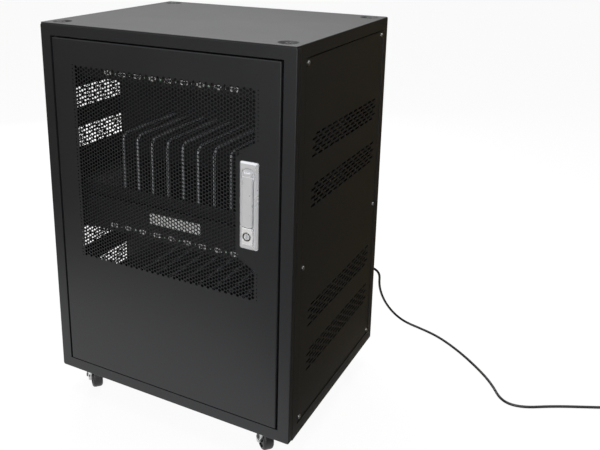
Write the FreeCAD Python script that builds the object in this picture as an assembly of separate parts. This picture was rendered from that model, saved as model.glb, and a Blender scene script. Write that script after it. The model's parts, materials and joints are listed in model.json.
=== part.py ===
# Charging cabinet on castors, all sizes in millimetres.
# Frame: origin on the floor under the middle of the body, +X to the right, +Y to the back, +Z up.
import FreeCAD, Part
import math
import os

V = FreeCAD.Vector
X_AXIS = V(1, 0, 0)
Y_AXIS = V(0, 1, 0)
Z_AXIS = V(0, 0, 1)
PARALLEL = 0.999
SAME_PLACE = 1e-4

# Body
BODY_WIDTH = 600.0
BODY_DEPTH = 476.0
BODY_HEIGHT = 818.0
CASTOR_HEIGHT = 70.0
SHEET = 1.5
BORDER = 26.0
FRAME_DEPTH = 16.0
FRAME_SEAM = 2.0
FRONT_POST_DEPTH = 22.0
REAR_POST_DEPTH = 24.0
SEAT_LIP = 22.0
PANEL_RECESS = 1.0
PANEL_GAP = 2.5
BACK_PANEL_END_GAP = 0.5
EDGE_RADIUS = 2.0
CORNER_RADIUS = 5.0
BASE_THICKNESS = 3.0

BASE = CASTOR_HEIGHT
TOP = BASE + BODY_HEIGHT
RIGHT = BODY_WIDTH / 2
BACK = BODY_DEPTH / 2
FRONT = -BACK
INNER_X = RIGHT - BORDER
INNER_BOTTOM = BASE + BORDER
INNER_TOP = TOP - BORDER
POST_FRONT = FRONT + FRAME_DEPTH
POST_REAR = POST_FRONT + FRONT_POST_DEPTH
BACK_POST_FRONT = BACK - REAR_POST_DEPTH

# Top cover with four dished bolt seats
COVER_THICKNESS = 2.0
DISH_INSET_X = 34.0
DISH_INSET_Y = 32.0
DISH_RADIUS = 20.5
DISH_TAPER = 4.5
DISH_DEPTH = 5.0
GUSSET_SIZE = 62.0
GUSSET_THICKNESS = 3.0
TOP_BOLT_RADIUS = 4.0
TOP_BOLT_HEAD_RADIUS = 6.5
TOP_BOLT_LENGTH = 18.0
WELD_NUT_RADIUS = 7.5
WELD_NUT_HEIGHT = 7.0
DISH_X = RIGHT - DISH_INSET_X
DISH_Y = BACK - DISH_INSET_Y
COVER_BOTTOM = TOP - COVER_THICKNESS
DISH_FLOOR = TOP - DISH_DEPTH
GUSSET_TOP = DISH_FLOOR - COVER_THICKNESS

# Side panels: four bands of staggered oblong slots, a little higher on the left panel
RIGHT_BANDS = (151.0, 253.0, 513.0, 616.0)
LEFT_BANDS = (196.0, 293.0, 541.0, 635.0)
BAND_ROWS = 6
BAND_SHIFT = 5.5
BAND_MARGIN = 30.0
ROW_PITCH = 8.4
SLOT_PITCH = 28.0
SLOT_LENGTH = 23.0
SLOT_HEIGHT = 5.0

# Panel screws, three along each upright edge
SCREW_RADIUS = 2.5
SCREW_HEAD_RADIUS = 4.6
SCREW_HEAD_HEIGHT = 2.4
SCREW_LENGTH = 9.0
SCREW_EDGE = 11.0
SCREW_MIDDLE = 375.0
FIT = 0.05

# Door
DOOR_GAP_HINGE = 4.0
DOOR_GAP_LATCH = 5.0
DOOR_GAP_TOP = 3.5
DOOR_GAP_BOTTOM = 1.0
DOOR_DEPTH = 18.0
DOOR_EDGE_RADIUS = 2.5
DOOR_CORNER_RADIUS = 3.0
PIVOT_INSET = 6.0
PIVOT_DEPTH = 7.0
HINGE_PIN_RADIUS = 3.0
HINGE_PIN_REACH = 9.0
HINGE_BOSS_RADIUS = 5.0
HINGE_BLOCK_WIDTH = 20.0
HINGE_BLOCK_HEIGHT = 13.0

DOOR_LEFT = -INNER_X + DOOR_GAP_HINGE
DOOR_RIGHT = INNER_X - DOOR_GAP_LATCH
DOOR_BOTTOM = INNER_BOTTOM + DOOR_GAP_BOTTOM
DOOR_TOP = INNER_TOP - DOOR_GAP_TOP
DOOR_REAR = FRONT + DOOR_DEPTH
PIVOT_X = DOOR_LEFT + PIVOT_INSET
PIVOT_Y = FRONT + PIVOT_DEPTH

# Perforated field of the door, with a notch that leaves plain sheet round the handle
FIELD_MARGIN_LEFT = 51.0
FIELD_MARGIN_RIGHT = 45.0
FIELD_MARGIN_TOP = 53.0
FIELD_HEIGHT = 432.5
NOTCH_DEPTH = 46.0
NOTCH_BELOW_HANDLE = 48.0
NOTCH_ABOVE_HANDLE = 38.0
NOTCH_SLANT = 32.0
GRID_COUNT = 12
GRID_OPEN_SHARE = 0.71
FIELD_LEFT = DOOR_LEFT + FIELD_MARGIN_LEFT
FIELD_RIGHT = DOOR_RIGHT - FIELD_MARGIN_RIGHT
FIELD_TOP = DOOR_TOP - FIELD_MARGIN_TOP
FIELD_BOTTOM = FIELD_TOP - FIELD_HEIGHT
NOTCH_X = FIELD_RIGHT - NOTCH_DEPTH

# Swing handle
HANDLE_INSET = 63.0
HANDLE_DROP = 285.5
HANDLE_WIDTH = 40.0
HANDLE_HEIGHT = 178.0
HANDLE_THICKNESS = 6.0
HANDLE_BEVEL = 3.5
HANDLE_CORNER = 4.0
RECESS_DEPTH = 3.0
ROTOR_OFFSET = 62.0
ROTOR_RADIUS = 14.5
ROTOR_GAP = 1.0
RUNNING_GAP = 0.3
SPINDLE_RADIUS = 6.0
SPINDLE_END_RADIUS = 5.0
LEVER_WIDTH = 22.0
LEVER_NECK_WIDTH = 14.0
LEVER_NECK_LENGTH = 5.0
LEVER_THICKNESS = 5.0
LEVER_CHAMFER = 1.25
LEVER_LENGTH = 108.0
LEVER_PIN_RADIUS = 1.2
LEVER_PIN_RISE = 5.0
TROUGH_GAP = 1.5
EAR_THICKNESS = 3.0
EAR_HALF_HEIGHT = 3.5
EAR_CLEARANCE = 0.3
LOCK_WIDTH = 23.4
LOCK_HEIGHT = 34.5
LOCK_THICKNESS = 8.0
LOCK_TIP_GAP = 1.5
KEY_RADIUS = 9.0
KEY_PROUD = 1.0
KEY_DEPTH = 7.0
KEYHOLE_WIDTH = 2.0
KEYHOLE_HEIGHT = 9.0
KEYHOLE_DEPTH = 4.9
HANDLE_SCREW_INSET = 5.0
TONGUE_WIDTH = 16.0
TONGUE_THICKNESS = 3.0
TONGUE_LENGTH = 62.0
TONGUE_SETBACK = 3.0
TONGUE_SCREW_HEAD = 3.0
KEEPER_THICKNESS = 2.0
KEEPER_REACH = 22.0
KEEPER_HEIGHT = 36.0
KEEPER_GAP = 0.5

HANDLE_X = DOOR_RIGHT - HANDLE_INSET
HANDLE_Z = DOOR_TOP - HANDLE_DROP
NOTCH_BOTTOM = HANDLE_Z - HANDLE_HEIGHT / 2 - NOTCH_BELOW_HANDLE
NOTCH_TOP = HANDLE_Z + HANDLE_HEIGHT / 2 + NOTCH_ABOVE_HANDLE
PLATE_FACE = FRONT - HANDLE_THICKNESS
RECESS_FLOOR = PLATE_FACE + RECESS_DEPTH
ROTOR_Z = HANDLE_Z + ROTOR_OFFSET
LEVER_BACK = PLATE_FACE - RUNNING_GAP
LEVER_PIN_Y = LEVER_BACK - LEVER_THICKNESS / 2
LEVER_PIN_Z = ROTOR_Z + LEVER_PIN_RISE
LEVER_TIP_Z = LEVER_PIN_Z - LEVER_LENGTH
LOCK_TOP = LEVER_TIP_Z - LOCK_TIP_GAP
LOCK_FACE = RECESS_FLOOR - LOCK_THICKNESS
KEY_Z = LOCK_TOP - LOCK_HEIGHT / 2
RECESS_RADIUS = ROTOR_RADIUS + ROTOR_GAP
TONGUE_FRONT = DOOR_REAR + TONGUE_SETBACK

# Inside: rails, partition, trays, dividers and charging units
RAIL_SETBACK = 17.0
RAIL_WIDTH = 26.0
RAIL_DEPTH = 25.0
BAY_DEPTH = 213.5
PARTITION_SIDE_GAP = 2.0
UNIT_SIDE_GAP = 4.0
UNIT_TOP_GAP = 13.0
BAY_HEIGHT = 241.0
TRAY_SETBACK = 11.5
BAY_COUNT = 9
BAY_PITCH = 38.2
WIRE_RADIUS = 2.75
WIRE_SETBACK = 6.0
HOOP_HEIGHT = 122.0
HOOP_BEND = 18.0
CASE_HEIGHT = 75.0
TRAY_WALL = 26.0
PORT_HEIGHT = 14.0
PORT_RIM = (17.5, 9.5)
PORT_SLEEVE = (14.5, 7.0)
PORT_MOUTH = (12.5, 5.0)
PORT_PROUD = 1.2
PORT_DEPTH = 12.0
PORT_CORNER = 1.5
LAMP_RADIUS = 1.5
LAMP_COLLAR = 2.2
LABEL_SIZE = (129.0, 24.0)
LABEL_X = 8.0
LABEL_BOTTOM = 38.0
LABEL_THICKNESS = 1.0
SUPPLY_SIZE = (260.0, 110.0, 45.0)
SUPPLY_BACK_GAP = 30.0
STRIP_SIZE = (400.0, 42.0, 48.0)
STRIP_HEIGHT = 210.0
STRIP_OUTLETS = 7
STRIP_OUTLET_PITCH = 52.0
STRIP_OUTLET_RADIUS = 17.0
STRIP_OUTLET_DEPTH = 3.0

UNIT_HALF_WIDTH = INNER_X - UNIT_SIDE_GAP
RAIL_FRONT = POST_FRONT + RAIL_SETBACK
CASE_FRONT = RAIL_FRONT + SHEET
PARTITION_Y = CASE_FRONT + BAY_DEPTH
TRAY_FRONT = CASE_FRONT + TRAY_SETBACK
WIRE_Y = TRAY_FRONT + WIRE_SETBACK
TIER_PITCH = BAY_HEIGHT + CASE_HEIGHT + TRAY_WALL
UPPER_CASE_BOTTOM = INNER_TOP - UNIT_TOP_GAP - CASE_HEIGHT
CASE_BOTTOMS = (UPPER_CASE_BOTTOM - TIER_PITCH, UPPER_CASE_BOTTOM)
TIER_FLOORS = tuple(bottom - BAY_HEIGHT for bottom in CASE_BOTTOMS)
PARTITION_REAR = PARTITION_Y + SHEET

# Castors
CASTOR_INSET_X = 67.5
CASTOR_INSET_FRONT = 40.0
CASTOR_INSET_REAR = 46.0
CASTOR_ANGLE = -42.0
CASTOR_TRAIL = -16.0
CASTOR_PLATE = (64.0, 46.0, 3.0)
CASTOR_BOLT_X = 22.0
CASTOR_BOLT_Y = 14.0
CASTOR_BOLT_RADIUS = 3.0
CASTOR_BOLT_HEAD = 4.0
CASTOR_BOLT_HEAD_RADIUS = 6.0
RACE_RADIUS = 13.0
RACE_HEIGHT = 5.0
KINGPIN_RADIUS = 5.0
FORK_DISC_RADIUS = 18.0
FORK_SHEET = 3.0
FORK_TOP_HALF = 14.0
FORK_END_RADIUS = 8.0
WHEEL_RADIUS = 25.0
WHEEL_WIDTH = 24.0
WHEEL_ROUNDING = 6.0
WHEEL_DISH_DEPTH = 3.0
WHEEL_DISH_INNER = 8.0
WHEEL_DISH_OUTER = 18.0
WHEEL_SIDE_GAP = 1.5
AXLE_RADIUS = 4.0
AXLE_HEAD_RADIUS = 6.5
AXLE_HEAD_HEIGHT = 3.0
BRAKE_WIDTH = 11.0
BRAKE_SHEET = 2.0
BRAKE_EYE_RADIUS = 3.5
BRAKE_PIN_RADIUS = 2.0
BRAKE_DROP = 15.0
BRAKE_OFFSET = 4.5
BRAKE_LENGTH = 14.0
BRAKE_TILT = 14.0
BRAKE_EAR = 2.0
BRAKE_SIDE_GAP = 0.5

CASTOR_X = RIGHT - CASTOR_INSET_X
CASTOR_FRONT_Y = FRONT + CASTOR_INSET_FRONT
CASTOR_REAR_Y = BACK - CASTOR_INSET_REAR
FORK_DISC_TOP = BASE - CASTOR_PLATE[2] - RACE_HEIGHT - RUNNING_GAP
FORK_DISC_BOTTOM = FORK_DISC_TOP - FORK_SHEET
LEG_INNER = WHEEL_WIDTH / 2 + WHEEL_SIDE_GAP
LEG_OUTER = LEG_INNER + FORK_SHEET
BRAKE_Z = BASE - BRAKE_DROP
BRAKE_Y = -(LEG_OUTER + BRAKE_OFFSET)

# Mains cord: gland, tapered strain relief, free stretch, coil of the length that isn't in use, plug
CORD_RADIUS = 3.1
GLAND_INSET = 42.0
GLAND_HEIGHT = 150.0
GLAND_REACH = 13.3
GLAND_RADIUS = 12.0
GLAND_THREAD_RADIUS = 8.0
GLAND_NUT_THICKNESS = 6.0
RELIEF_LENGTH = 24.0
RELIEF_RADIUS = 7.0
RELIEF_TIP_RADIUS = 4.4
ARC_SHARE = 0.45
COIL_RADIUS = 41.0
COIL_PITCH = 7.0
COIL_LEAD = 6.2
COIL_TAIL = 34.0
COIL_HALF_TURNS_IN = 4
TIE_WALL = 1.0
TIE_WIDTH = 9.0
TIE_CLEARANCE = 0.3
TIE_BOW = 1.2
PLUG_RELIEF_LENGTH = 26.0
PLUG_LENGTH = 36.0
PLUG_WIDTH = 27.0
PLUG_THICKNESS = 20.0
PLUG_ROUNDING = 4.0
BLADE_SIZE = (17.0, 1.6, 6.3)
BLADE_SPACING = 12.7
EARTH_PIN_RADIUS = 2.4
PIN_RAISE = 4.5

GLAND_X = INNER_X - GLAND_INSET
GLAND_Z = BASE + GLAND_HEIGHT
RELIEF_START = BACK - PANEL_RECESS + GLAND_REACH
CORD_START = RELIEF_START + RELIEF_LENGTH
FLOOR_LINE = CORD_RADIUS + 0.2
COIL_LINE = CORD_RADIUS + TIE_WALL + TIE_CLEARANCE + 0.2
CORD_ROUTE = (
    V(GLAND_X, CORD_START, GLAND_Z),
    V(GLAND_X, CORD_START + 44, GLAND_Z),
    V(281, 345, 206),
    V(277, 352, 150),
    V(286, 402, 74),
    V(317, 452, 11),
    V(378, 449, FLOOR_LINE),
    V(432, 430, FLOOR_LINE),
    V(498, 385, FLOOR_LINE),
    V(558, 331, FLOOR_LINE),
    V(602, 282, FLOOR_LINE),
    V(637, 222, FLOOR_LINE),
    V(684, 220, FLOOR_LINE),
    V(748, 262, FLOOR_LINE),
    V(822, 299, FLOOR_LINE),
    V(872, 322, COIL_LINE),
    V(914, 341, COIL_LINE),
)


# Plain shapes
def block(x0, x1, y0, y1, z0, z1):
    return Part.makeBox(x1 - x0, y1 - y0, z1 - z0, V(x0, y0, z0))


def rod(start, axis, radius, length):
    return Part.makeCylinder(radius, length, start, axis)


def polygon_face(points):
    return Part.Face(Part.makePolygon(list(points) + [points[0]]))


def group(shapes):
    return Part.makeCompound(shapes)


def save(name, shape):
    shape.exportStep("parts/%s.step" % name)


def along(edge, axis):
    if edge.Curve.TypeId != "Part::GeomLine":
        return False
    return abs(edge.tangentAt(edge.FirstParameter).dot(axis)) > PARALLEL


def edges_along(shape, axis):
    return [edge for edge in shape.Edges if along(edge, axis)]


def face_at(shape, axis, place):
    """The flat face that looks along an axis and stands at a place on it."""
    for face in shape.Faces:
        stands_there = abs(face.CenterOfMass.dot(axis) - place) < SAME_PLACE
        if stands_there and abs(face.normalAt(0, 0).dot(axis)) > PARALLEL:
            return face
    raise ValueError("no face at %s" % place)


def round_front(shape, corner_radius, edge_radius):
    """Rounds the four corners along Y, then the edges of the front face."""
    shape = shape.makeFillet(corner_radius, edges_along(shape, Y_AXIS))
    return shape.makeFillet(edge_radius, face_at(shape, Y_AXIS, FRONT).Edges)


def rounded_slab(size, corner, thickness):
    """A slab in the XZ plane round the origin, from y = 0 back to its thickness, with rounded corners."""
    width, height = size
    slab = block(-width / 2, width / 2, 0, thickness, -height / 2, height / 2)
    return slab.makeFillet(corner, edges_along(slab, Y_AXIS))


# Body frame
def hinge_axes():
    """Heights of the frame's inner faces where the hinge pins stand, and the way out of each."""
    return ((INNER_BOTTOM, -1), (INNER_TOP, 1))


def front_frame():
    frame_back = FRONT + FRAME_DEPTH
    seam_back = frame_back - FRAME_SEAM
    frame = block(-RIGHT, RIGHT, FRONT, seam_back, BASE, COVER_BOTTOM)
    frame = round_front(frame, CORNER_RADIUS, EDGE_RADIUS)
    channel = block(-RIGHT + SHEET, RIGHT - SHEET, FRONT + SHEET + EDGE_RADIUS, seam_back,
                    BASE + SHEET, COVER_BOTTOM - SHEET)
    flange = block(-INNER_X - SHEET, INNER_X + SHEET, FRONT + SHEET, frame_back,
                   INNER_BOTTOM - SHEET, INNER_TOP + SHEET)
    frame = frame.cut(channel).fuse(flange)
    for height, out in hinge_axes():
        boss_foot = V(PIVOT_X, PIVOT_Y, height)
        frame = frame.fuse(rod(boss_foot, Z_AXIS * out, HINGE_BOSS_RADIUS, HINGE_PIN_REACH))
    frame = frame.cut(block(-INNER_X, INNER_X, FRONT - 1, frame_back + 1, INNER_BOTTOM, INNER_TOP))
    for height, out in hinge_axes():
        pin_foot = V(PIVOT_X, PIVOT_Y, height)
        frame = frame.cut(rod(pin_foot, Z_AXIS * out, HINGE_PIN_RADIUS + FIT, HINGE_PIN_REACH))
    for place in dish_places():
        frame = frame.cut(dish_pocket(place))
    return frame.removeSplitter()


def hinge_pins():
    pins = []
    for height, out in hinge_axes():
        door_end = DOOR_TOP if out > 0 else DOOR_BOTTOM
        length = HINGE_PIN_REACH * 2 + abs(height - door_end)
        start = V(PIVOT_X, PIVOT_Y, height + out * HINGE_PIN_REACH)
        pins.append(rod(start, Z_AXIS * -out, HINGE_PIN_RADIUS, length))
    return group(pins)


def screw_heights():
    return (INNER_BOTTOM + SCREW_EDGE, BASE + SCREW_MIDDLE, INNER_TOP - SCREW_EDGE)


def side_screw_places():
    """Places of the right panel's screws on its outer face."""
    columns = (POST_REAR + SEAT_LIP / 2, BACK_POST_FRONT - SEAT_LIP / 2)
    return [V(RIGHT - PANEL_RECESS, y, z) for y in columns for z in screw_heights()]


def back_screw_places():
    columns = (-INNER_X + SEAT_LIP / 2, INNER_X - SEAT_LIP / 2)
    return [V(x, BACK - PANEL_RECESS, z) for x in columns for z in screw_heights()]


def post_tube(y0, y1):
    tube = block(INNER_X, RIGHT, y0, y1, INNER_BOTTOM, INNER_TOP)
    outer_edges = [edge for edge in tube.Edges if along(edge, Z_AXIS) and edge.CenterOfMass.x > RIGHT - 1
                   and edge.CenterOfMass.y > BACK - 1]
    if outer_edges:
        tube = tube.makeFillet(EDGE_RADIUS, outer_edges)
    return tube.cut(block(INNER_X + SHEET, RIGHT - SHEET - EDGE_RADIUS, y0 + SHEET, y1 - SHEET - EDGE_RADIUS,
                          INNER_BOTTOM, INNER_TOP))


def right_posts():
    seat_out = RIGHT - PANEL_RECESS - SHEET
    front = post_tube(POST_FRONT, POST_REAR)
    front = front.fuse(block(seat_out - SHEET, seat_out, POST_REAR - SHEET, POST_REAR + SEAT_LIP,
                             INNER_BOTTOM, INNER_TOP))
    rear = post_tube(BACK_POST_FRONT, BACK)
    rear = rear.fuse(block(seat_out - SHEET, seat_out, BACK_POST_FRONT - SEAT_LIP, BACK_POST_FRONT + SHEET,
                           INNER_BOTTOM, INNER_TOP))
    back_seat = BACK - PANEL_RECESS - SHEET
    rear = rear.fuse(block(INNER_X - SEAT_LIP, INNER_X + SHEET, back_seat - SHEET, back_seat,
                           INNER_BOTTOM, INNER_TOP))
    posts = [front, rear]
    for place in side_screw_places():
        posts = [post.cut(rod(place, X_AXIS * -1, SCREW_RADIUS + FIT, SCREW_LENGTH)) for post in posts]
    for place in back_screw_places():
        posts = [post.cut(rod(place, Y_AXIS * -1, SCREW_RADIUS + FIT, SCREW_LENGTH)) for post in posts]
    return [post.removeSplitter() for post in posts]


def corner_posts():
    posts = right_posts()
    return group(posts + [post.mirror(V(0, 0, 0), X_AXIS) for post in posts])


def ring(bottom, top):
    """Hollow square ring of four bars on the plan of the posts."""
    outer = block(-RIGHT, RIGHT, POST_FRONT, BACK, bottom, top)
    outer = outer.makeFillet(EDGE_RADIUS, [edge for edge in outer.Edges if along(edge, Z_AXIS)
                                           and edge.CenterOfMass.y > 0])
    opening_front = POST_FRONT + BORDER
    opening_back = BACK - BORDER
    wall = SHEET + EDGE_RADIUS
    hollow = block(-RIGHT + SHEET, RIGHT - SHEET, POST_FRONT + SHEET, BACK - wall,
                   bottom + SHEET, top - SHEET)
    core = block(-INNER_X - SHEET, INNER_X + SHEET, opening_front - SHEET, opening_back + SHEET,
                 bottom, top)
    opening = block(-INNER_X, INNER_X, opening_front, opening_back, bottom, top)
    return outer.cut(hollow.cut(core)).cut(opening)


def bottom_ring():
    return ring(BASE, INNER_BOTTOM).cut(group(castor_bolt_bores()))


def dish_places():
    return [V(x, y, 0) for x in (-DISH_X, DISH_X) for y in (-DISH_Y, DISH_Y)]


def dish_cone(floor, top, radius):
    return Part.makeCone(radius - DISH_TAPER, radius, top - floor, V(0, 0, floor), Z_AXIS)


def dish_pocket(place):
    """Room for one dish of the cover in what lies under it."""
    radius = DISH_RADIUS + COVER_THICKNESS + RUNNING_GAP
    return rod(V(place.x, place.y, GUSSET_TOP), Z_AXIS, radius, COVER_BOTTOM - GUSSET_TOP)


def top_ring():
    shape = ring(INNER_TOP, COVER_BOTTOM)
    for place in dish_places():
        side_x = math.copysign(1, place.x)
        side_y = math.copysign(1, place.y)
        corner_x = side_x * (RIGHT - SHEET)
        corner_y = BACK - SHEET - EDGE_RADIUS if side_y > 0 else POST_FRONT + SHEET
        span_x = sorted((corner_x, corner_x - side_x * GUSSET_SIZE))
        span_y = sorted((corner_y, corner_y - side_y * GUSSET_SIZE))
        gusset = block(span_x[0], span_x[1], span_y[0], span_y[1],
                       GUSSET_TOP - GUSSET_THICKNESS, GUSSET_TOP)
        nut_bottom = GUSSET_TOP - GUSSET_THICKNESS - WELD_NUT_HEIGHT
        nut = rod(V(place.x, place.y, nut_bottom), Z_AXIS, WELD_NUT_RADIUS, WELD_NUT_HEIGHT)
        bore = rod(V(place.x, place.y, INNER_TOP), Z_AXIS, TOP_BOLT_RADIUS + FIT, BORDER)
        shape = shape.cut(dish_pocket(place)).fuse(gusset).fuse(nut).cut(bore)
    return shape.removeSplitter()


def top_cover():
    cover = block(-RIGHT, RIGHT, FRONT, BACK, COVER_BOTTOM, TOP)
    cover = cover.makeFillet(CORNER_RADIUS, edges_along(cover, Z_AXIS))
    cover = cover.makeFillet(COVER_THICKNESS * 0.7, face_at(cover, Z_AXIS, TOP).Edges)
    for place in dish_places():
        cup = dish_cone(GUSSET_TOP, COVER_BOTTOM, DISH_RADIUS + COVER_THICKNESS)
        dish = dish_cone(DISH_FLOOR, TOP, DISH_RADIUS)
        bore = rod(V(0, 0, GUSSET_TOP), Z_AXIS, TOP_BOLT_RADIUS + FIT, COVER_THICKNESS)
        for tool in (cup, dish, bore):
            tool.translate(place)
        cover = cover.fuse(cup).cut(dish).cut(bore)
    return cover.removeSplitter()


def dome_bolt(head_radius, head_height, shank_radius, shank_length):
    """Bolt that points down from z = 0, with a rounded head above."""
    head = rod(V(0, 0, 0), Z_AXIS, head_radius, head_height)
    head = head.makeFillet(head_height * 0.6, face_at(head, Z_AXIS, head_height).Edges)
    socket = rod(V(0, 0, head_height * 0.4), Z_AXIS, head_radius * 0.4, head_height)
    return head.cut(socket).fuse(rod(V(0, 0, -shank_length), Z_AXIS, shank_radius, shank_length))


def top_bolts():
    bolts = []
    for place in dish_places():
        bolt = dome_bolt(TOP_BOLT_HEAD_RADIUS, DISH_DEPTH * 0.9, TOP_BOLT_RADIUS, TOP_BOLT_LENGTH)
        bolt.translate(V(place.x, place.y, DISH_FLOOR))
        bolts.append(bolt)
    return group(bolts)


def castor_bolt_places():
    """Places of the castor bolts on the lower face of the castor plates."""
    return [V(x + dx, y + dy, BASE - CASTOR_PLATE[2])
            for x in (-CASTOR_X, CASTOR_X) for y in (CASTOR_FRONT_Y, CASTOR_REAR_Y)
            for dx in (-CASTOR_BOLT_X, CASTOR_BOLT_X) for dy in (-CASTOR_BOLT_Y, CASTOR_BOLT_Y)]


def castor_bolt_bores():
    length = CASTOR_PLATE[2] + BASE_THICKNESS
    return [rod(place, Z_AXIS, CASTOR_BOLT_RADIUS + FIT, length) for place in castor_bolt_places()]


def base_plate():
    plate = block(-INNER_X, INNER_X, POST_FRONT + BORDER, BACK - BORDER, BASE, BASE + BASE_THICKNESS)
    return plate.cut(group(castor_bolt_bores()))


# Panels and their screws
def slot_wire(y, z):
    radius = SLOT_HEIGHT / 2
    front = y - SLOT_LENGTH / 2
    rear = y + SLOT_LENGTH / 2
    upper_front = V(0, front + radius, z + radius)
    upper_rear = V(0, rear - radius, z + radius)
    lower_rear = V(0, rear - radius, z - radius)
    lower_front = V(0, front + radius, z - radius)
    return Part.Wire([Part.makeLine(upper_front, upper_rear),
                      Part.Arc(upper_rear, V(0, rear, z), lower_rear).toShape(),
                      Part.makeLine(lower_rear, lower_front),
                      Part.Arc(lower_front, V(0, front, z), upper_front).toShape()])


def slot_places(bands):
    places = []
    front = POST_REAR + PANEL_GAP
    back = BACK_POST_FRONT - PANEL_GAP
    middle = (front + back) / 2 + BAND_SHIFT
    count = int((back - front - 2 * BAND_MARGIN) / SLOT_PITCH)
    for band in bands:
        for row in range(BAND_ROWS):
            z = BASE + band + (row - (BAND_ROWS - 1) / 2) * ROW_PITCH
            stagger = SLOT_PITCH / 4 * (1 if row % 2 else -1)
            for column in range(count):
                y = middle + stagger + (column - (count - 1) / 2) * SLOT_PITCH
                places.append((y, z))
    return places


def side_panel(bands):
    """Panel of the right side with its slots at the given heights."""
    front = POST_REAR + PANEL_GAP
    back = BACK_POST_FRONT - PANEL_GAP
    bottom = INNER_BOTTOM + PANEL_GAP
    top = INNER_TOP - PANEL_GAP
    corners = (V(0, front, bottom), V(0, back, bottom), V(0, back, top), V(0, front, top))
    wires = [Part.makePolygon(list(corners) + [corners[0]])]
    wires += [slot_wire(y, z) for y, z in slot_places(bands)]
    for place in side_screw_places():
        wires.append(Part.Wire(Part.makeCircle(SCREW_RADIUS + FIT, V(0, place.y, place.z), X_AXIS)))
    face = Part.makeFace(wires, "Part::FaceMakerCheese")
    face.translate(V(RIGHT - PANEL_RECESS - SHEET, 0, 0))
    return face.extrude(X_AXIS * SHEET)


def back_panel():
    inner = INNER_X - PANEL_GAP
    outer_face = BACK - PANEL_RECESS
    panel = block(-inner, inner, outer_face - SHEET, outer_face,
                  INNER_BOTTOM + BACK_PANEL_END_GAP, INNER_TOP - BACK_PANEL_END_GAP)
    for place in back_screw_places():
        panel = panel.cut(rod(place, Y_AXIS * -1, SCREW_RADIUS + FIT, SHEET))
    return panel.cut(rod(V(GLAND_X, outer_face, GLAND_Z), Y_AXIS * -1, GLAND_THREAD_RADIUS + FIT, SHEET))


def turned(shape, axis, angle):
    shape.rotate(V(0, 0, 0), axis, angle)
    return shape


def panel_screw():
    return dome_bolt(SCREW_HEAD_RADIUS, SCREW_HEAD_HEIGHT, SCREW_RADIUS, SCREW_LENGTH)


def body_fasteners():
    screws = []
    for place in side_screw_places():
        for side in (-1, 1):
            screw = turned(panel_screw(), Y_AXIS, 90 * side)
            screw.translate(V(place.x * side, place.y, place.z))
            screws.append(screw)
    for place in back_screw_places():
        screw = turned(panel_screw(), X_AXIS, -90)
        screw.translate(place)
        screws.append(screw)
    for place in castor_bolt_places():
        bolt = dome_bolt(CASTOR_BOLT_HEAD_RADIUS, CASTOR_BOLT_HEAD, CASTOR_BOLT_RADIUS,
                         BASE_THICKNESS + CASTOR_PLATE[2])
        bolt = turned(bolt, X_AXIS, 180)
        bolt.translate(place)
        screws.append(bolt)
    return group(screws)


# Door
def field_outline():
    return (V(FIELD_LEFT, FRONT, FIELD_BOTTOM), V(FIELD_RIGHT, FRONT, FIELD_BOTTOM),
            V(FIELD_RIGHT, FRONT, NOTCH_BOTTOM), V(NOTCH_X, FRONT, NOTCH_BOTTOM + NOTCH_SLANT),
            V(NOTCH_X, FRONT, NOTCH_TOP - NOTCH_SLANT), V(FIELD_RIGHT, FRONT, NOTCH_TOP),
            V(FIELD_RIGHT, FRONT, FIELD_TOP), V(FIELD_LEFT, FRONT, FIELD_TOP))


def field_sheet():
    return polygon_face(field_outline()).extrude(Y_AXIS * SHEET)


def grid_openings():
    """Outlines of the plain grid of openings, left out where they would meet the handle's notch."""
    pitch_x = (FIELD_RIGHT - FIELD_LEFT) / GRID_COUNT
    pitch_z = (FIELD_TOP - FIELD_BOTTOM) / GRID_COUNT
    half_x = pitch_x * GRID_OPEN_SHARE / 2
    half_z = pitch_z * GRID_OPEN_SHARE / 2
    outlines = []
    for column in range(GRID_COUNT):
        x = FIELD_LEFT + (column + 0.5) * pitch_x
        for row in range(GRID_COUNT):
            z = FIELD_BOTTOM + (row + 0.5) * pitch_z
            beside_notch = NOTCH_BOTTOM < z + pitch_z / 2 and z - pitch_z / 2 < NOTCH_TOP
            if x + pitch_x / 2 > NOTCH_X and beside_notch:
                continue
            corners = [V(x - half_x, FRONT, z - half_z), V(x + half_x, FRONT, z - half_z),
                       V(x + half_x, FRONT, z + half_z), V(x - half_x, FRONT, z + half_z)]
            outlines.append(Part.makePolygon(corners + [corners[0]]))
    return outlines


def door_mesh():
    outline = field_outline()
    wires = [Part.makePolygon(list(outline) + [outline[0]])] + grid_openings()
    return Part.makeFace(wires, "Part::FaceMakerCheese").extrude(Y_AXIS * SHEET)


def handle_screw_places():
    reach = HANDLE_HEIGHT / 2 - HANDLE_SCREW_INSET
    return [V(HANDLE_X, FRONT, HANDLE_Z - reach), V(HANDLE_X, FRONT, HANDLE_Z + reach)]


def hinge_bore():
    """Room for both hinge pins over the door's whole height."""
    return rod(V(PIVOT_X, PIVOT_Y, DOOR_BOTTOM), Z_AXIS, HINGE_PIN_RADIUS + FIT, DOOR_TOP - DOOR_BOTTOM)


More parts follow.
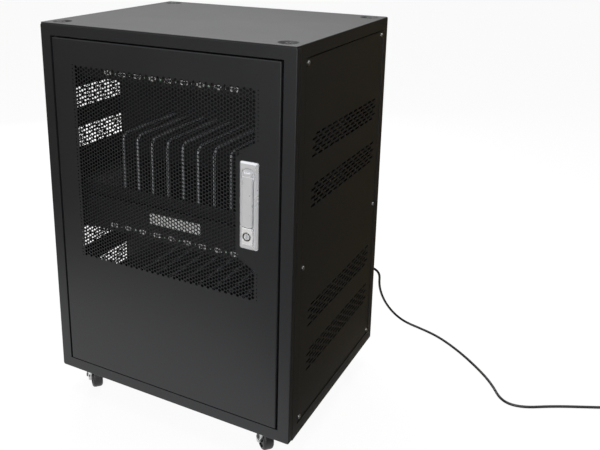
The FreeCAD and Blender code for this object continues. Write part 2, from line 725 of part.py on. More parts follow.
def door_skin():
    pan = round_front(block(DOOR_LEFT, DOOR_RIGHT, FRONT, DOOR_REAR, DOOR_BOTTOM, DOOR_TOP),
                      DOOR_CORNER_RADIUS, DOOR_EDGE_RADIUS)
    inside = block(DOOR_LEFT + SHEET, DOOR_RIGHT - SHEET, FRONT + SHEET, DOOR_REAR,
                   DOOR_BOTTOM + SHEET, DOOR_TOP - SHEET)
    inside = inside.makeFillet(DOOR_CORNER_RADIUS - SHEET, edges_along(inside, Y_AXIS))
    inside = inside.makeFillet(DOOR_EDGE_RADIUS - SHEET, face_at(inside, Y_AXIS, FRONT + SHEET).Edges)
    pan = pan.cut(inside).cut(field_sheet())
    pan = pan.cut(rod(V(HANDLE_X, FRONT, ROTOR_Z), Y_AXIS, SPINDLE_RADIUS + ROTOR_GAP, SHEET))
    for place in handle_screw_places():
        pan = pan.cut(rod(place, Y_AXIS, SCREW_RADIUS + FIT, SHEET))
    return pan.cut(hinge_bore())


def door_hinge_blocks():
    inside_left = DOOR_LEFT + SHEET
    blocks = []
    for bottom in (DOOR_BOTTOM + SHEET, DOOR_TOP - SHEET - HINGE_BLOCK_HEIGHT):
        piece = block(inside_left, inside_left + HINGE_BLOCK_WIDTH, FRONT + SHEET, DOOR_REAR,
                      bottom, bottom + HINGE_BLOCK_HEIGHT)
        piece = piece.makeChamfer(DOOR_CORNER_RADIUS - SHEET, edges_along(piece, Y_AXIS))
        piece = piece.makeChamfer(DOOR_EDGE_RADIUS - SHEET, face_at(piece, Y_AXIS, FRONT + SHEET).Edges)
        blocks.append(piece.cut(hinge_bore()))
    return group(blocks)


# Swing handle and latch
def handle_plate():
    half_width = HANDLE_WIDTH / 2
    half_height = HANDLE_HEIGHT / 2
    plate = block(HANDLE_X - half_width, HANDLE_X + half_width, PLATE_FACE, FRONT,
                  HANDLE_Z - half_height, HANDLE_Z + half_height)
    plate = plate.makeFillet(HANDLE_CORNER, edges_along(plate, Y_AXIS))
    plate = plate.makeChamfer(HANDLE_BEVEL, face_at(plate, Y_AXIS, PLATE_FACE).Edges)
    arch = rod(V(HANDLE_X, PLATE_FACE, ROTOR_Z), Y_AXIS, RECESS_RADIUS, RECESS_DEPTH)
    trough_half = LEVER_WIDTH / 2 + TROUGH_GAP
    trough = block(HANDLE_X - trough_half, HANDLE_X + trough_half, PLATE_FACE, RECESS_FLOOR,
                   LOCK_TOP - LOCK_HEIGHT - ROTOR_GAP, ROTOR_Z)
    bore = rod(V(HANDLE_X, PLATE_FACE, ROTOR_Z), Y_AXIS, SPINDLE_RADIUS + FIT, HANDLE_THICKNESS)
    plate = plate.cut(arch).cut(trough).cut(bore)
    for place in handle_screw_places():
        plate = plate.cut(rod(place, Y_AXIS * -1, SCREW_RADIUS + FIT, RECESS_DEPTH))
    return plate


def handle_screws():
    screws = []
    for place in handle_screw_places():
        length = SHEET + RECESS_DEPTH - FIT
        screw = dome_bolt(SCREW_HEAD_RADIUS, SCREW_HEAD_HEIGHT, SCREW_RADIUS, length)
        screw = turned(screw, X_AXIS, -90)
        screw.translate(V(place.x, FRONT + SHEET, place.z))
        screws.append(screw)
    return group(screws)


def handle_rotor():
    disc_back = RECESS_FLOOR - RUNNING_GAP
    disc = rod(V(HANDLE_X, PLATE_FACE, ROTOR_Z), Y_AXIS, ROTOR_RADIUS, disc_back - PLATE_FACE)
    spindle = rod(V(HANDLE_X, disc_back, ROTOR_Z), Y_AXIS, SPINDLE_RADIUS, TONGUE_FRONT - disc_back)
    end = rod(V(HANDLE_X, TONGUE_FRONT, ROTOR_Z), Y_AXIS, SPINDLE_END_RADIUS, TONGUE_THICKNESS)
    rotor = disc.fuse(spindle).fuse(end)
    inner = LEVER_NECK_WIDTH / 2 + EAR_CLEARANCE
    for side in (-1, 1):
        span = sorted((HANDLE_X + side * inner, HANDLE_X + side * (inner + EAR_THICKNESS)))
        ear = block(span[0], span[1], LEVER_BACK - LEVER_THICKNESS, PLATE_FACE,
                    LEVER_PIN_Z - EAR_HALF_HEIGHT, LEVER_PIN_Z + EAR_HALF_HEIGHT)
        rotor = rotor.fuse(ear)
    pin_half = inner + EAR_THICKNESS
    pin_start = V(HANDLE_X - pin_half, LEVER_PIN_Y, LEVER_PIN_Z)
    rotor = rotor.cut(rod(pin_start, X_AXIS, LEVER_PIN_RADIUS + FIT / 2, pin_half * 2))
    thread = rod(V(HANDLE_X, TONGUE_FRONT + TONGUE_THICKNESS, ROTOR_Z), Y_AXIS * -1, SCREW_RADIUS + FIT,
                 SCREW_LENGTH)
    return rotor.cut(thread).removeSplitter()


def lever_pin():
    half = LEVER_NECK_WIDTH / 2 + EAR_CLEARANCE + EAR_THICKNESS
    return rod(V(HANDLE_X - half, LEVER_PIN_Y, LEVER_PIN_Z), X_AXIS, LEVER_PIN_RADIUS, half * 2)


def handle_lever():
    front = LEVER_BACK - LEVER_THICKNESS
    shoulder = LEVER_PIN_Z - LEVER_NECK_LENGTH
    half = LEVER_WIDTH / 2
    neck_half = LEVER_NECK_WIDTH / 2
    bar = block(HANDLE_X - half, HANDLE_X + half, front, LEVER_BACK, LEVER_TIP_Z, shoulder)
    bar = bar.makeFillet(HANDLE_CORNER, [edge for edge in bar.Edges if along(edge, Y_AXIS)
                                         and edge.CenterOfMass.z < LEVER_TIP_Z + 1])
    bar = bar.makeChamfer(LEVER_CHAMFER, face_at(bar, Y_AXIS, front).Edges)
    neck = block(HANDLE_X - neck_half, HANDLE_X + neck_half, front, LEVER_BACK, shoulder, LEVER_PIN_Z)
    eye_start = V(HANDLE_X - neck_half, LEVER_PIN_Y, LEVER_PIN_Z)
    eye = rod(eye_start, X_AXIS, LEVER_THICKNESS / 2, LEVER_NECK_WIDTH)
    bore = rod(eye_start, X_AXIS, LEVER_PIN_RADIUS + FIT, LEVER_NECK_WIDTH)
    return bar.fuse(neck).fuse(eye).cut(bore).removeSplitter()


def lock_block():
    half = LOCK_WIDTH / 2
    shape = block(HANDLE_X - half, HANDLE_X + half, LOCK_FACE, RECESS_FLOOR,
                  LOCK_TOP - LOCK_HEIGHT, LOCK_TOP)
    shape = shape.makeFillet(EDGE_RADIUS, edges_along(shape, Y_AXIS))
    shape = shape.makeChamfer(EDGE_RADIUS / 2, face_at(shape, Y_AXIS, LOCK_FACE).Edges)
    return shape.cut(rod(V(HANDLE_X, LOCK_FACE, KEY_Z), Y_AXIS, KEY_RADIUS + FIT, KEY_DEPTH))


def key_cylinder():
    face = LOCK_FACE - KEY_PROUD
    plug = rod(V(HANDLE_X, face, KEY_Z), Y_AXIS, KEY_RADIUS, KEY_PROUD + KEY_DEPTH - FIT)
    plug = plug.makeChamfer(KEY_PROUD / 2, face_at(plug, Y_AXIS, face).Edges)
    half_width = KEYHOLE_WIDTH / 2
    half_height = KEYHOLE_HEIGHT / 2
    keyhole = block(HANDLE_X - half_width, HANDLE_X + half_width, face, face + KEYHOLE_DEPTH,
                    KEY_Z - half_height, KEY_Z + half_height)
    return plug.cut(keyhole)


def latch_tongue():
    half = TONGUE_WIDTH / 2
    rear = TONGUE_FRONT + TONGUE_THICKNESS
    bar = block(HANDLE_X - half, HANDLE_X + half, TONGUE_FRONT, rear, ROTOR_Z - TONGUE_LENGTH, ROTOR_Z)
    head = rod(V(HANDLE_X, TONGUE_FRONT, ROTOR_Z), Y_AXIS, half, TONGUE_THICKNESS)
    bore = rod(V(HANDLE_X, TONGUE_FRONT, ROTOR_Z), Y_AXIS, SPINDLE_END_RADIUS + FIT / 2, TONGUE_THICKNESS)
    tongue = bar.fuse(head).removeSplitter()
    tongue = tongue.makeFillet(EDGE_RADIUS, [edge for edge in tongue.Edges if along(edge, Y_AXIS)
                                             and edge.CenterOfMass.z < ROTOR_Z - TONGUE_LENGTH + 1])
    return tongue.cut(bore)


def tongue_screw():
    screw = dome_bolt(SPINDLE_RADIUS, TONGUE_SCREW_HEAD, SCREW_RADIUS, SCREW_LENGTH - FIT)
    screw = turned(screw, X_AXIS, -90)
    screw.translate(V(HANDLE_X, TONGUE_FRONT + TONGUE_THICKNESS, ROTOR_Z))
    return screw


def keeper():
    """Bracket on the right front post: the tongue swings in behind its flange."""
    flange_rear = TONGUE_FRONT - KEEPER_GAP
    flange_front = flange_rear - KEEPER_THICKNESS
    low = ROTOR_Z - KEEPER_HEIGHT / 2
    high = ROTOR_Z + KEEPER_HEIGHT / 2
    flange = block(INNER_X - KEEPER_REACH, INNER_X, flange_front, flange_rear, low, high)
    foot = block(INNER_X - KEEPER_THICKNESS, INNER_X, flange_front, RAIL_FRONT - KEEPER_GAP, low, high)
    return flange.fuse(foot).removeSplitter()


# Inside
def rack_rails():
    face = block(INNER_X - RAIL_WIDTH, INNER_X, RAIL_FRONT, RAIL_FRONT + SHEET, INNER_BOTTOM, INNER_TOP)
    web = block(INNER_X - SHEET, INNER_X, RAIL_FRONT, RAIL_FRONT + RAIL_DEPTH, INNER_BOTTOM, INNER_TOP)
    rail = face.fuse(web).removeSplitter()
    return group([rail, rail.mirror(V(0, 0, 0), X_AXIS)])


def divider_places():
    return [(index - (BAY_COUNT - 2) / 2) * BAY_PITCH for index in range(BAY_COUNT - 1)]


def port_places():
    return [(index - (BAY_COUNT - 1) / 2) * BAY_PITCH for index in range(BAY_COUNT)]


def partition():
    half = RIGHT - PANEL_RECESS - SHEET - PARTITION_SIDE_GAP
    sheet = block(-half, half, PARTITION_Y, PARTITION_REAR, INNER_BOTTOM, INNER_TOP)
    for floor in TIER_FLOORS:
        for x in divider_places():
            sheet = sheet.cut(rod(V(x, PARTITION_Y, floor + HOOP_HEIGHT), Y_AXIS, WIRE_RADIUS + FIT, SHEET))
    return sheet


def tray(floor, foot):
    """Inverted pan: its floor carries the devices, its front and rear walls stand on what is below."""
    pan = block(-UNIT_HALF_WIDTH, UNIT_HALF_WIDTH, TRAY_FRONT, PARTITION_Y, foot, floor)
    pan = pan.makeFillet(EDGE_RADIUS, [edge for edge in face_at(pan, Z_AXIS, floor).Edges
                                       if edge.CenterOfMass.y < TRAY_FRONT + 1e-3])
    pan = pan.cut(block(-UNIT_HALF_WIDTH, UNIT_HALF_WIDTH, TRAY_FRONT + SHEET, PARTITION_Y - SHEET,
                        foot, floor - SHEET))
    for x in divider_places():
        pan = pan.cut(rod(V(x, WIRE_Y, floor), Z_AXIS * -1, WIRE_RADIUS + FIT, SHEET))
    return pan


def arc_at_corner(start, corner, end):
    """Arc that leaves start towards the corner and arrives at end from it, both the same way off."""
    leg = (corner - start).Length
    middle = (start + end) * 0.5
    half_angle = math.asin(min(1.0, (end - start).Length / 2 / leg))
    to_middle = leg / math.cos(half_angle) - leg * math.tan(half_angle)
    inward = middle - corner
    inward.normalize()
    return Part.Arc(start, corner + inward * to_middle, end).toShape()


def tube_on(edges, radius):
    start = edges[0].valueAt(edges[0].FirstParameter)
    heading = edges[0].tangentAt(edges[0].FirstParameter)
    section = Part.Wire(Part.makeCircle(radius, start, heading))
    return Part.Wire(edges).makePipeShell([section], True, False)


def divider_hoop(floor):
    low = V(0, WIRE_Y, floor - SHEET)
    turn_start = V(0, WIRE_Y, floor + HOOP_HEIGHT - HOOP_BEND)
    corner = V(0, WIRE_Y, floor + HOOP_HEIGHT)
    turn_end = V(0, WIRE_Y + HOOP_BEND, floor + HOOP_HEIGHT)
    back = V(0, PARTITION_REAR, floor + HOOP_HEIGHT)
    edges = [Part.makeLine(low, turn_start), arc_at_corner(turn_start, corner, turn_end),
             Part.makeLine(turn_end, back)]
    return tube_on(edges, WIRE_RADIUS)


def dividers(floor):
    hoops = []
    for x in divider_places():
        hoop = divider_hoop(floor)
        hoop.translate(V(x, 0, 0))
        hoops.append(hoop)
    return group(hoops)


def charger_case(bottom):
    top = bottom + CASE_HEIGHT
    case = block(-UNIT_HALF_WIDTH, UNIT_HALF_WIDTH, CASE_FRONT, PARTITION_Y, bottom, top)
    case = case.cut(block(-UNIT_HALF_WIDTH + SHEET, UNIT_HALF_WIDTH - SHEET, CASE_FRONT + SHEET,
                          PARTITION_Y - SHEET, bottom + SHEET, top - SHEET))
    for x in port_places():
        sleeve_hole = rounded_slab((PORT_SLEEVE[0] + FIT, PORT_SLEEVE[1] + FIT), PORT_CORNER, SHEET)
        sleeve_hole.translate(V(x, CASE_FRONT, bottom + PORT_HEIGHT))
        case = case.cut(sleeve_hole)
    for x in divider_places():
        case = case.cut(rod(V(x, CASE_FRONT, bottom + PORT_HEIGHT), Y_AXIS, LAMP_RADIUS + FIT, SHEET))
    return case


def charge_port():
    rim = rounded_slab(PORT_RIM, PORT_CORNER * 2, PORT_PROUD)
    rim.translate(Y_AXIS * -PORT_PROUD)
    sleeve = rounded_slab(PORT_SLEEVE, PORT_CORNER, PORT_DEPTH)
    mouth = rounded_slab(PORT_MOUTH, PORT_CORNER / 2, PORT_DEPTH + PORT_PROUD)
    mouth.translate(Y_AXIS * -PORT_PROUD)
    return rim.fuse(sleeve).cut(mouth).removeSplitter()


def port_insert():
    """Dark contact block at the back of a port, with its tongue."""
    stop = SHEET
    back = rounded_slab((PORT_MOUTH[0] - FIT, PORT_MOUTH[1] - FIT), PORT_CORNER / 2, stop)
    back.translate(Y_AXIS * (PORT_DEPTH - stop))
    tongue = rounded_slab((PORT_MOUTH[0] * 0.85, PORT_MOUTH[1] * 0.4), FIT * 4, PORT_DEPTH - stop)
    tongue.translate(Z_AXIS * (PORT_MOUTH[1] * 0.12))
    return back.fuse(tongue)


def pilot_lamp():
    collar = rod(V(0, -PORT_PROUD / 2, 0), Y_AXIS, LAMP_COLLAR, PORT_PROUD / 2)
    stem = rod(V(0, -PORT_PROUD / 2, 0), Y_AXIS, LAMP_RADIUS, PORT_PROUD / 2 + SHEET)
    lens = Part.makeSphere(LAMP_RADIUS, V(0, -PORT_PROUD / 2, 0))
    return collar.fuse(stem).fuse(lens).removeSplitter()


def on_unit_fronts(make, places):
    """Copies of one small piece along the ports' line of both charging units."""
    copies = []
    for bottom in CASE_BOTTOMS:
        for x in places:
            piece = make()
            piece.translate(V(x, CASE_FRONT, bottom + PORT_HEIGHT))
            copies.append(piece)
    return group(copies)


def label_plate():
    bottom = CASE_BOTTOMS[0] + LABEL_BOTTOM
    plate = block(LABEL_X - LABEL_SIZE[0] / 2, LABEL_X + LABEL_SIZE[0] / 2, CASE_FRONT - LABEL_THICKNESS,
                  CASE_FRONT, bottom, bottom + LABEL_SIZE[1])
    return plate.makeFillet(EDGE_RADIUS, edges_along(plate, Y_AXIS))


def charger_supplies():
    width, depth, height = SUPPLY_SIZE
    back = PARTITION_Y - SHEET - SUPPLY_BACK_GAP
    supplies = []
    for bottom in CASE_BOTTOMS:
        floor = bottom + SHEET
        supply = block(-width / 2, width / 2, back - depth, back, floor, floor + height)
        supplies.append(supply.makeFillet(EDGE_RADIUS, edges_along(supply, Z_AXIS)))
    return group(supplies)


def power_strip():
    width, depth, height = STRIP_SIZE
    face = PARTITION_REAR + depth
    middle = BASE + STRIP_HEIGHT
    strip = block(-width / 2, width / 2, PARTITION_REAR, face, middle - height / 2, middle + height / 2)
    strip = strip.makeFillet(CORNER_RADIUS, edges_along(strip, Y_AXIS))
    for index in range(STRIP_OUTLETS):
        x = (index - (STRIP_OUTLETS - 1) / 2) * STRIP_OUTLET_PITCH
        strip = strip.cut(rod(V(x, face, middle), Y_AXIS * -1, STRIP_OUTLET_RADIUS, STRIP_OUTLET_DEPTH))
    return strip


# Castors, drawn with the pivot on the Z axis and the wheel trailing along -X, then turned and moved
def castor_places():
    return [V(x, y, 0) for y in (CASTOR_FRONT_Y, CASTOR_REAR_Y) for x in (-CASTOR_X, CASTOR_X)]


def on_castor(shape, place):
    shape.rotate(V(0, 0, 0), Z_AXIS, CASTOR_ANGLE)
    shape.translate(place)
    return shape


def castor_plates():
    length, depth, thickness = CASTOR_PLATE
    plates = []
    for place in castor_places():
        plate = block(-length / 2, length / 2, -depth / 2, depth / 2, BASE - thickness, BASE)
        plate = plate.makeFillet(CORNER_RADIUS, edges_along(plate, Z_AXIS))
        plate = plate.fuse(rod(V(0, 0, BASE - thickness - RACE_HEIGHT), Z_AXIS, RACE_RADIUS, RACE_HEIGHT))
        plate = plate.cut(rod(V(0, 0, BASE - thickness - RACE_HEIGHT), Z_AXIS, KINGPIN_RADIUS + FIT,
                              thickness + RACE_HEIGHT))
        for x in (-CASTOR_BOLT_X, CASTOR_BOLT_X):
            for y in (-CASTOR_BOLT_Y, CASTOR_BOLT_Y):
                foot = V(x, y, BASE - thickness)
                plate = plate.cut(rod(foot, Z_AXIS, CASTOR_BOLT_RADIUS + FIT, thickness))
        plate.translate(place)
        plates.append(plate)
    return group(plates)


def fork_leg(side):
    outline = (V(-FORK_TOP_HALF, 0, FORK_DISC_BOTTOM),
               V(FORK_TOP_HALF, 0, FORK_DISC_BOTTOM),
               V(CASTOR_TRAIL + FORK_END_RADIUS, 0, WHEEL_RADIUS),
               V(CASTOR_TRAIL - FORK_END_RADIUS, 0, WHEEL_RADIUS))
    leg = polygon_face(outline).extrude(Y_AXIS * FORK_SHEET)
    leg = leg.fuse(rod(V(CASTOR_TRAIL, 0, WHEEL_RADIUS), Y_AXIS, FORK_END_RADIUS, FORK_SHEET))
    leg.translate(Y_AXIS * (LEG_INNER if side > 0 else -LEG_OUTER))
    return leg


def brake_carrier():
    """Pin beside the fork that carries the brake lever, held by two ears on the fork leg."""
    half = BRAKE_WIDTH / 2 + BRAKE_SIDE_GAP
    carrier = rod(V(-half - BRAKE_EAR, BRAKE_Y, BRAKE_Z), X_AXIS, BRAKE_PIN_RADIUS, (half + BRAKE_EAR) * 2)
    for x in (-half - BRAKE_EAR, half):
        carrier = carrier.fuse(block(x, x + BRAKE_EAR, BRAKE_Y - BRAKE_PIN_RADIUS, -LEG_OUTER,
                                     BRAKE_Z - BRAKE_PIN_RADIUS, FORK_DISC_BOTTOM))
    return carrier


def castor_fork(with_brake):
    fork = rod(V(0, 0, FORK_DISC_BOTTOM), Z_AXIS, FORK_DISC_RADIUS, FORK_SHEET)
    fork = fork.fuse(rod(V(0, 0, FORK_DISC_TOP), Z_AXIS, KINGPIN_RADIUS, BASE - FIT * 4 - FORK_DISC_TOP))
    for side in (-1, 1):
        fork = fork.fuse(fork_leg(side))
    if with_brake:
        fork = fork.fuse(brake_carrier())
    axle_start = V(CASTOR_TRAIL, -LEG_OUTER, WHEEL_RADIUS)
    fork = fork.cut(rod(axle_start, Y_AXIS, AXLE_RADIUS + FIT / 2, LEG_OUTER * 2))
    return fork.removeSplitter()


def castor_wheel():
    half = WHEEL_WIDTH / 2
    wheel = rod(V(CASTOR_TRAIL, -half, WHEEL_RADIUS), Y_AXIS, WHEEL_RADIUS, WHEEL_WIDTH)
    rims = [edge for edge in wheel.Edges if edge.Curve.TypeId == "Part::GeomCircle"]
    wheel = wheel.makeFillet(WHEEL_ROUNDING, rims)
    for start, way in ((-half, 1), (half, -1)):
        dish = rod(V(CASTOR_TRAIL, start, WHEEL_RADIUS), Y_AXIS * way, WHEEL_DISH_OUTER, WHEEL_DISH_DEPTH)
        hub = rod(V(CASTOR_TRAIL, start, WHEEL_RADIUS), Y_AXIS * way, WHEEL_DISH_INNER, WHEEL_DISH_DEPTH)
        wheel = wheel.cut(dish.cut(hub))
    return wheel.cut(rod(V(CASTOR_TRAIL, -half, WHEEL_RADIUS), Y_AXIS, AXLE_RADIUS + FIT, WHEEL_WIDTH))


def castor_axle():
    axle = rod(V(CASTOR_TRAIL, -LEG_OUTER, WHEEL_RADIUS), Y_AXIS, AXLE_RADIUS, LEG_OUTER * 2)
    for start, way in ((-LEG_OUTER, -1), (LEG_OUTER, 1)):
        head = rod(V(CASTOR_TRAIL, start, WHEEL_RADIUS), Y_AXIS * way, AXLE_HEAD_RADIUS, AXLE_HEAD_HEIGHT)
        axle = axle.fuse(head.makeFillet(AXLE_HEAD_HEIGHT * 0.4,
                                         face_at(head, Y_AXIS, start + way * AXLE_HEAD_HEIGHT).Edges))
    return axle.removeSplitter()


def brake_lever():
    half = BRAKE_WIDTH / 2
    eye = rod(V(-half, BRAKE_Y, BRAKE_Z), X_AXIS, BRAKE_EYE_RADIUS, BRAKE_WIDTH)
    strip = block(-half, half, -BRAKE_SHEET / 2, BRAKE_SHEET / 2, -BRAKE_LENGTH, 0)
    strip = strip.makeFillet(EDGE_RADIUS, [edge for edge in strip.Edges if along(edge, Y_AXIS)
                                           and edge.CenterOfMass.z < 1 - BRAKE_LENGTH])
    strip = turned(strip, X_AXIS, -BRAKE_TILT)
    strip.translate(V(0, BRAKE_Y, BRAKE_Z))
    bore = rod(V(-half, BRAKE_Y, BRAKE_Z), X_AXIS, BRAKE_PIN_RADIUS + FIT, BRAKE_WIDTH)
    return eye.fuse(strip).cut(bore).removeSplitter()


# Mains cord
def cord_gland():
    face = BACK - PANEL_RECESS
    nut = rod(V(GLAND_X, face, GLAND_Z), Y_AXIS, GLAND_RADIUS, GLAND_REACH)
    nut = nut.makeChamfer(EDGE_RADIUS, face_at(nut, Y_AXIS, face + GLAND_REACH).Edges)
    thread = rod(V(GLAND_X, face, GLAND_Z), Y_AXIS * -1, GLAND_THREAD_RADIUS, SHEET + GLAND_NUT_THICKNESS)
    lock_nut = rod(V(GLAND_X, face - SHEET, GLAND_Z), Y_AXIS * -1, GLAND_RADIUS, GLAND_NUT_THICKNESS)
    bore = rod(V(GLAND_X, 0, GLAND_Z), Y_AXIS, CORD_RADIUS, BODY_DEPTH)
    return nut.fuse(thread).fuse(lock_nut).cut(bore).removeSplitter()


def cord_strain_relief():
    foot = V(GLAND_X, RELIEF_START, GLAND_Z)
    return Part.makeCone(RELIEF_RADIUS, RELIEF_TIP_RADIUS, RELIEF_LENGTH, foot, Y_AXIS)


def route_edges(points):
    """Straight runs joined by tangent arcs, each taking a share of the shorter run beside it."""
    edges = []
    last = points[0]
    for before, corner, after in zip(points, points[1:], points[2:]):
        reach = ARC_SHARE * min((corner - before).Length, (after - corner).Length)
        inward = (before - corner).normalize()
        onward = (after - corner).normalize()
        start = corner + inward * reach
        end = corner + onward * reach
        edges.append(Part.makeLine(last, start))
        edges.append(arc_at_corner(start, corner, end))
        last = end
    edges.append(Part.makeLine(last, points[-1]))
    return edges


def report_route(name, edges, tube):
    length = sum(edge.Length for edge in edges)
    radii = [edge.Curve.Radius for edge in edges if edge.Curve.TypeId == "Part::GeomCircle"]
    expected = math.pi * CORD_RADIUS ** 2 * length
    print(name, "length %.0f" % length, "tightest bend %.1f" % min(radii),
          "volume against section times length %.4f" % (tube.Volume / expected))


def cord():
    edges = route_edges(CORD_ROUTE)
    tube = tube_on(edges, CORD_RADIUS)
    report_route("cord", edges, tube)
    return tube


def half_turn(start, end, heading, edges):
    """Half a turn from start, leaving along heading and arriving against it, as two quarter arcs."""
    reach = (end - start).Length / 2
    first = start + heading * reach
    second = end + heading * reach
    middle = (first + second) * 0.5
    edges.append(arc_at_corner(start, first, middle))
    edges.append(arc_at_corner(middle, second, end))


def coil_edges():
    """Two turns in on the floor, a half turn up, and back out on top, in the coil's own frame.

    The coil's middle is the origin, the cord arrives at +X and heads along +Y.
    """
    low = COIL_LINE
    high = COIL_LINE + COIL_PITCH
    start = V(COIL_RADIUS, 0, low)
    edges = [Part.makeLine(start - Y_AXIS * COIL_LEAD, start)]
    radii = [COIL_RADIUS - index * COIL_PITCH / 2 for index in range(COIL_HALF_TURNS_IN + 1)]
    radii += radii[-2:0:-1]
    place = start
    side = 1
    for index, radius in enumerate(radii):
        height = low if index < COIL_HALF_TURNS_IN else high
        end = V(place.x - side * 2 * radius, 0, height)
        half_turn(place, end, Y_AXIS * side, edges)
        place = end
        side = -side
    edges.append(Part.makeLine(place, place + Y_AXIS * COIL_TAIL))
    return edges


def coil_frame(shape):
    """Turns and moves a shape from the coil's frame to the end of the cord's route."""
    heading = (CORD_ROUTE[-1] - CORD_ROUTE[-2]).normalize()
    angle = math.degrees(math.atan2(heading.y, heading.x)) - 90
    shape.rotate(V(0, 0, 0), Z_AXIS, angle)
    entry = FreeCAD.Rotation(Z_AXIS, angle).multVec(V(COIL_RADIUS, -COIL_LEAD, 0))
    end = CORD_ROUTE[-1]
    shape.translate(V(end.x - entry.x, end.y - entry.y, 0))
    return shape


def least_gap(edges):
    """Least clear distance between stretches of the coil that lie more than a quarter turn apart."""
    step = CORD_RADIUS / 2
    points = []
    travelled = 0.0
    for edge in edges:
        count = max(2, int(edge.Length / step))
        for index in range(count):
            share = index / count
            at = edge.FirstParameter + share * (edge.LastParameter - edge.FirstParameter)
            points.append((travelled + share * edge.Length, edge.valueAt(at)))
        travelled += edge.Length
    apart = COIL_RADIUS
    least = min((first - second).Length for at, first in points
                for also, second in points if also - at > apart)
    return least - 2 * CORD_RADIUS


def coil():
    edges = coil_edges()
    tube = tube_on(edges, CORD_RADIUS)
    report_route("coil", edges, tube)
    print("coil least gap to itself %.2f" % least_gap(edges))
    return coil_frame(tube)


def tie():
    """Band round the coil's turns on the side where both layers lie flat."""
    reach = CORD_RADIUS + TIE_CLEARANCE
    outer_turn = -(COIL_RADIUS - COIL_PITCH / 2)
    inner_turn = -(COIL_RADIUS - COIL_PITCH * 3 / 2)
    near = outer_turn - reach
    far = inner_turn + reach + TIE_BOW
    low = COIL_LINE - reach
    high = COIL_LINE + COIL_PITCH + reach
    half = TIE_WIDTH / 2
    hole = block(-half, half, near, far, low, high)
    band = block(-half, half, near - TIE_WALL, far + TIE_WALL, low - TIE_WALL, high + TIE_WALL)
    band = band.makeFillet(EDGE_RADIUS, edges_along(band, X_AXIS))
    return coil_frame(band.cut(hole))


def plug():
    """Moulded plug at the coil's loose end: tapered relief, body, two blades and an earth pin."""
    axis_z = COIL_LINE + COIL_PITCH
    start = V(COIL_RADIUS, COIL_TAIL, axis_z)
    relief = Part.makeCone(RELIEF_TIP_RADIUS, RELIEF_RADIUS, PLUG_RELIEF_LENGTH, start, Y_AXIS)
    body_start = COIL_TAIL + PLUG_RELIEF_LENGTH
    face = body_start + PLUG_LENGTH
    body = block(COIL_RADIUS - PLUG_WIDTH / 2, COIL_RADIUS + PLUG_WIDTH / 2, body_start, face,
                 axis_z - PLUG_THICKNESS / 2, axis_z + PLUG_THICKNESS / 2)
    body = body.makeFillet(PLUG_ROUNDING, edges_along(body, Y_AXIS))
    body = body.makeFillet(PLUG_ROUNDING / 2, face_at(body, Y_AXIS, body_start).Edges)
    length, thickness, height = BLADE_SIZE
    pins = []
    for side in (-1, 1):
        x = COIL_RADIUS + side * BLADE_SPACING / 2
        z = axis_z + PIN_RAISE
        pins.append(block(x - thickness / 2, x + thickness / 2, face, face + length,
                          z - height / 2, z + height / 2))
    pins.append(rod(V(COIL_RADIUS, face, axis_z - PIN_RAISE), Y_AXIS, EARTH_PIN_RADIUS, length))
    return coil_frame(group([relief.fuse(body).removeSplitter()] + pins))


def build():
    os.makedirs("parts", exist_ok=True)
    save("front_frame", front_frame())
    save("hinge_pins", hinge_pins())
    save("corner_posts", corner_posts())
    save("bottom_ring", bottom_ring())
    save("top_ring", top_ring())
    save("top_cover", top_cover())
    save("top_bolts", top_bolts())
    save("base_plate", base_plate())
    save("side_panel_right", side_panel(RIGHT_BANDS))
    save("side_panel_left", side_panel(LEFT_BANDS).mirror(V(0, 0, 0), X_AXIS))
    save("back_panel", back_panel())
    save("body_fasteners", body_fasteners())
    save("door_skin", door_skin())
    save("door_mesh", door_mesh())
    save("door_hinge_blocks", door_hinge_blocks())
    save("handle_plate", handle_plate())
    save("handle_screws", handle_screws())
    save("handle_rotor", handle_rotor())
    save("lever_pin", lever_pin())
    save("handle_lever", handle_lever())
    save("lock_block", lock_block())
    save("key_cylinder", key_cylinder())
    save("latch_tongue", latch_tongue())
    save("tongue_screw", tongue_screw())
    save("keeper", keeper())
    save("rack_rails", rack_rails())
    save("partition", partition())
    save("tray_lower", tray(TIER_FLOORS[0], BASE + BASE_THICKNESS))
    save("tray_upper", tray(TIER_FLOORS[1], CASE_BOTTOMS[0] + CASE_HEIGHT))
    save("dividers_lower", dividers(TIER_FLOORS[0]))
    save("dividers_upper", dividers(TIER_FLOORS[1]))
    save("charger_case_lower", charger_case(CASE_BOTTOMS[0]))
    save("charger_case_upper", charger_case(CASE_BOTTOMS[1]))
    save("charge_ports", on_unit_fronts(charge_port, port_places()))
    save("port_inserts", on_unit_fronts(port_insert, port_places()))
    save("pilot_lamps", on_unit_fronts(pilot_lamp, divider_places()))
    save("label_plate", label_plate())
    save("charger_supplies", charger_supplies())
    save("power_strip", power_strip())
    save("castor_plates", castor_plates())
    for index, place in enumerate(castor_places(), 1):
        at_front = place.y < 0
        save("castor_fork_%d" % index, on_castor(castor_fork(at_front), place))
        save("castor_wheel_%d" % index, on_castor(castor_wheel(), place))
        save("castor_axle_%d" % index, on_castor(castor_axle(), place))
        if at_front:
            save("brake_lever_%d" % index, on_castor(brake_lever(), place))
    save("cord_gland", cord_gland())
    save("cord_strain_relief", cord_strain_relief())
    save("cord", cord())
    save("coil", coil())
    save("tie", tie())
    save("plug", plug())


if __name__ == "__main__":
    build()
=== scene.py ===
# Looks of a charging cabinet: its finishes, the door's perforated sheet, the mains cord and the studio
import json
import math

import bmesh
import bpy
from mathutils import Euler, Matrix, Vector


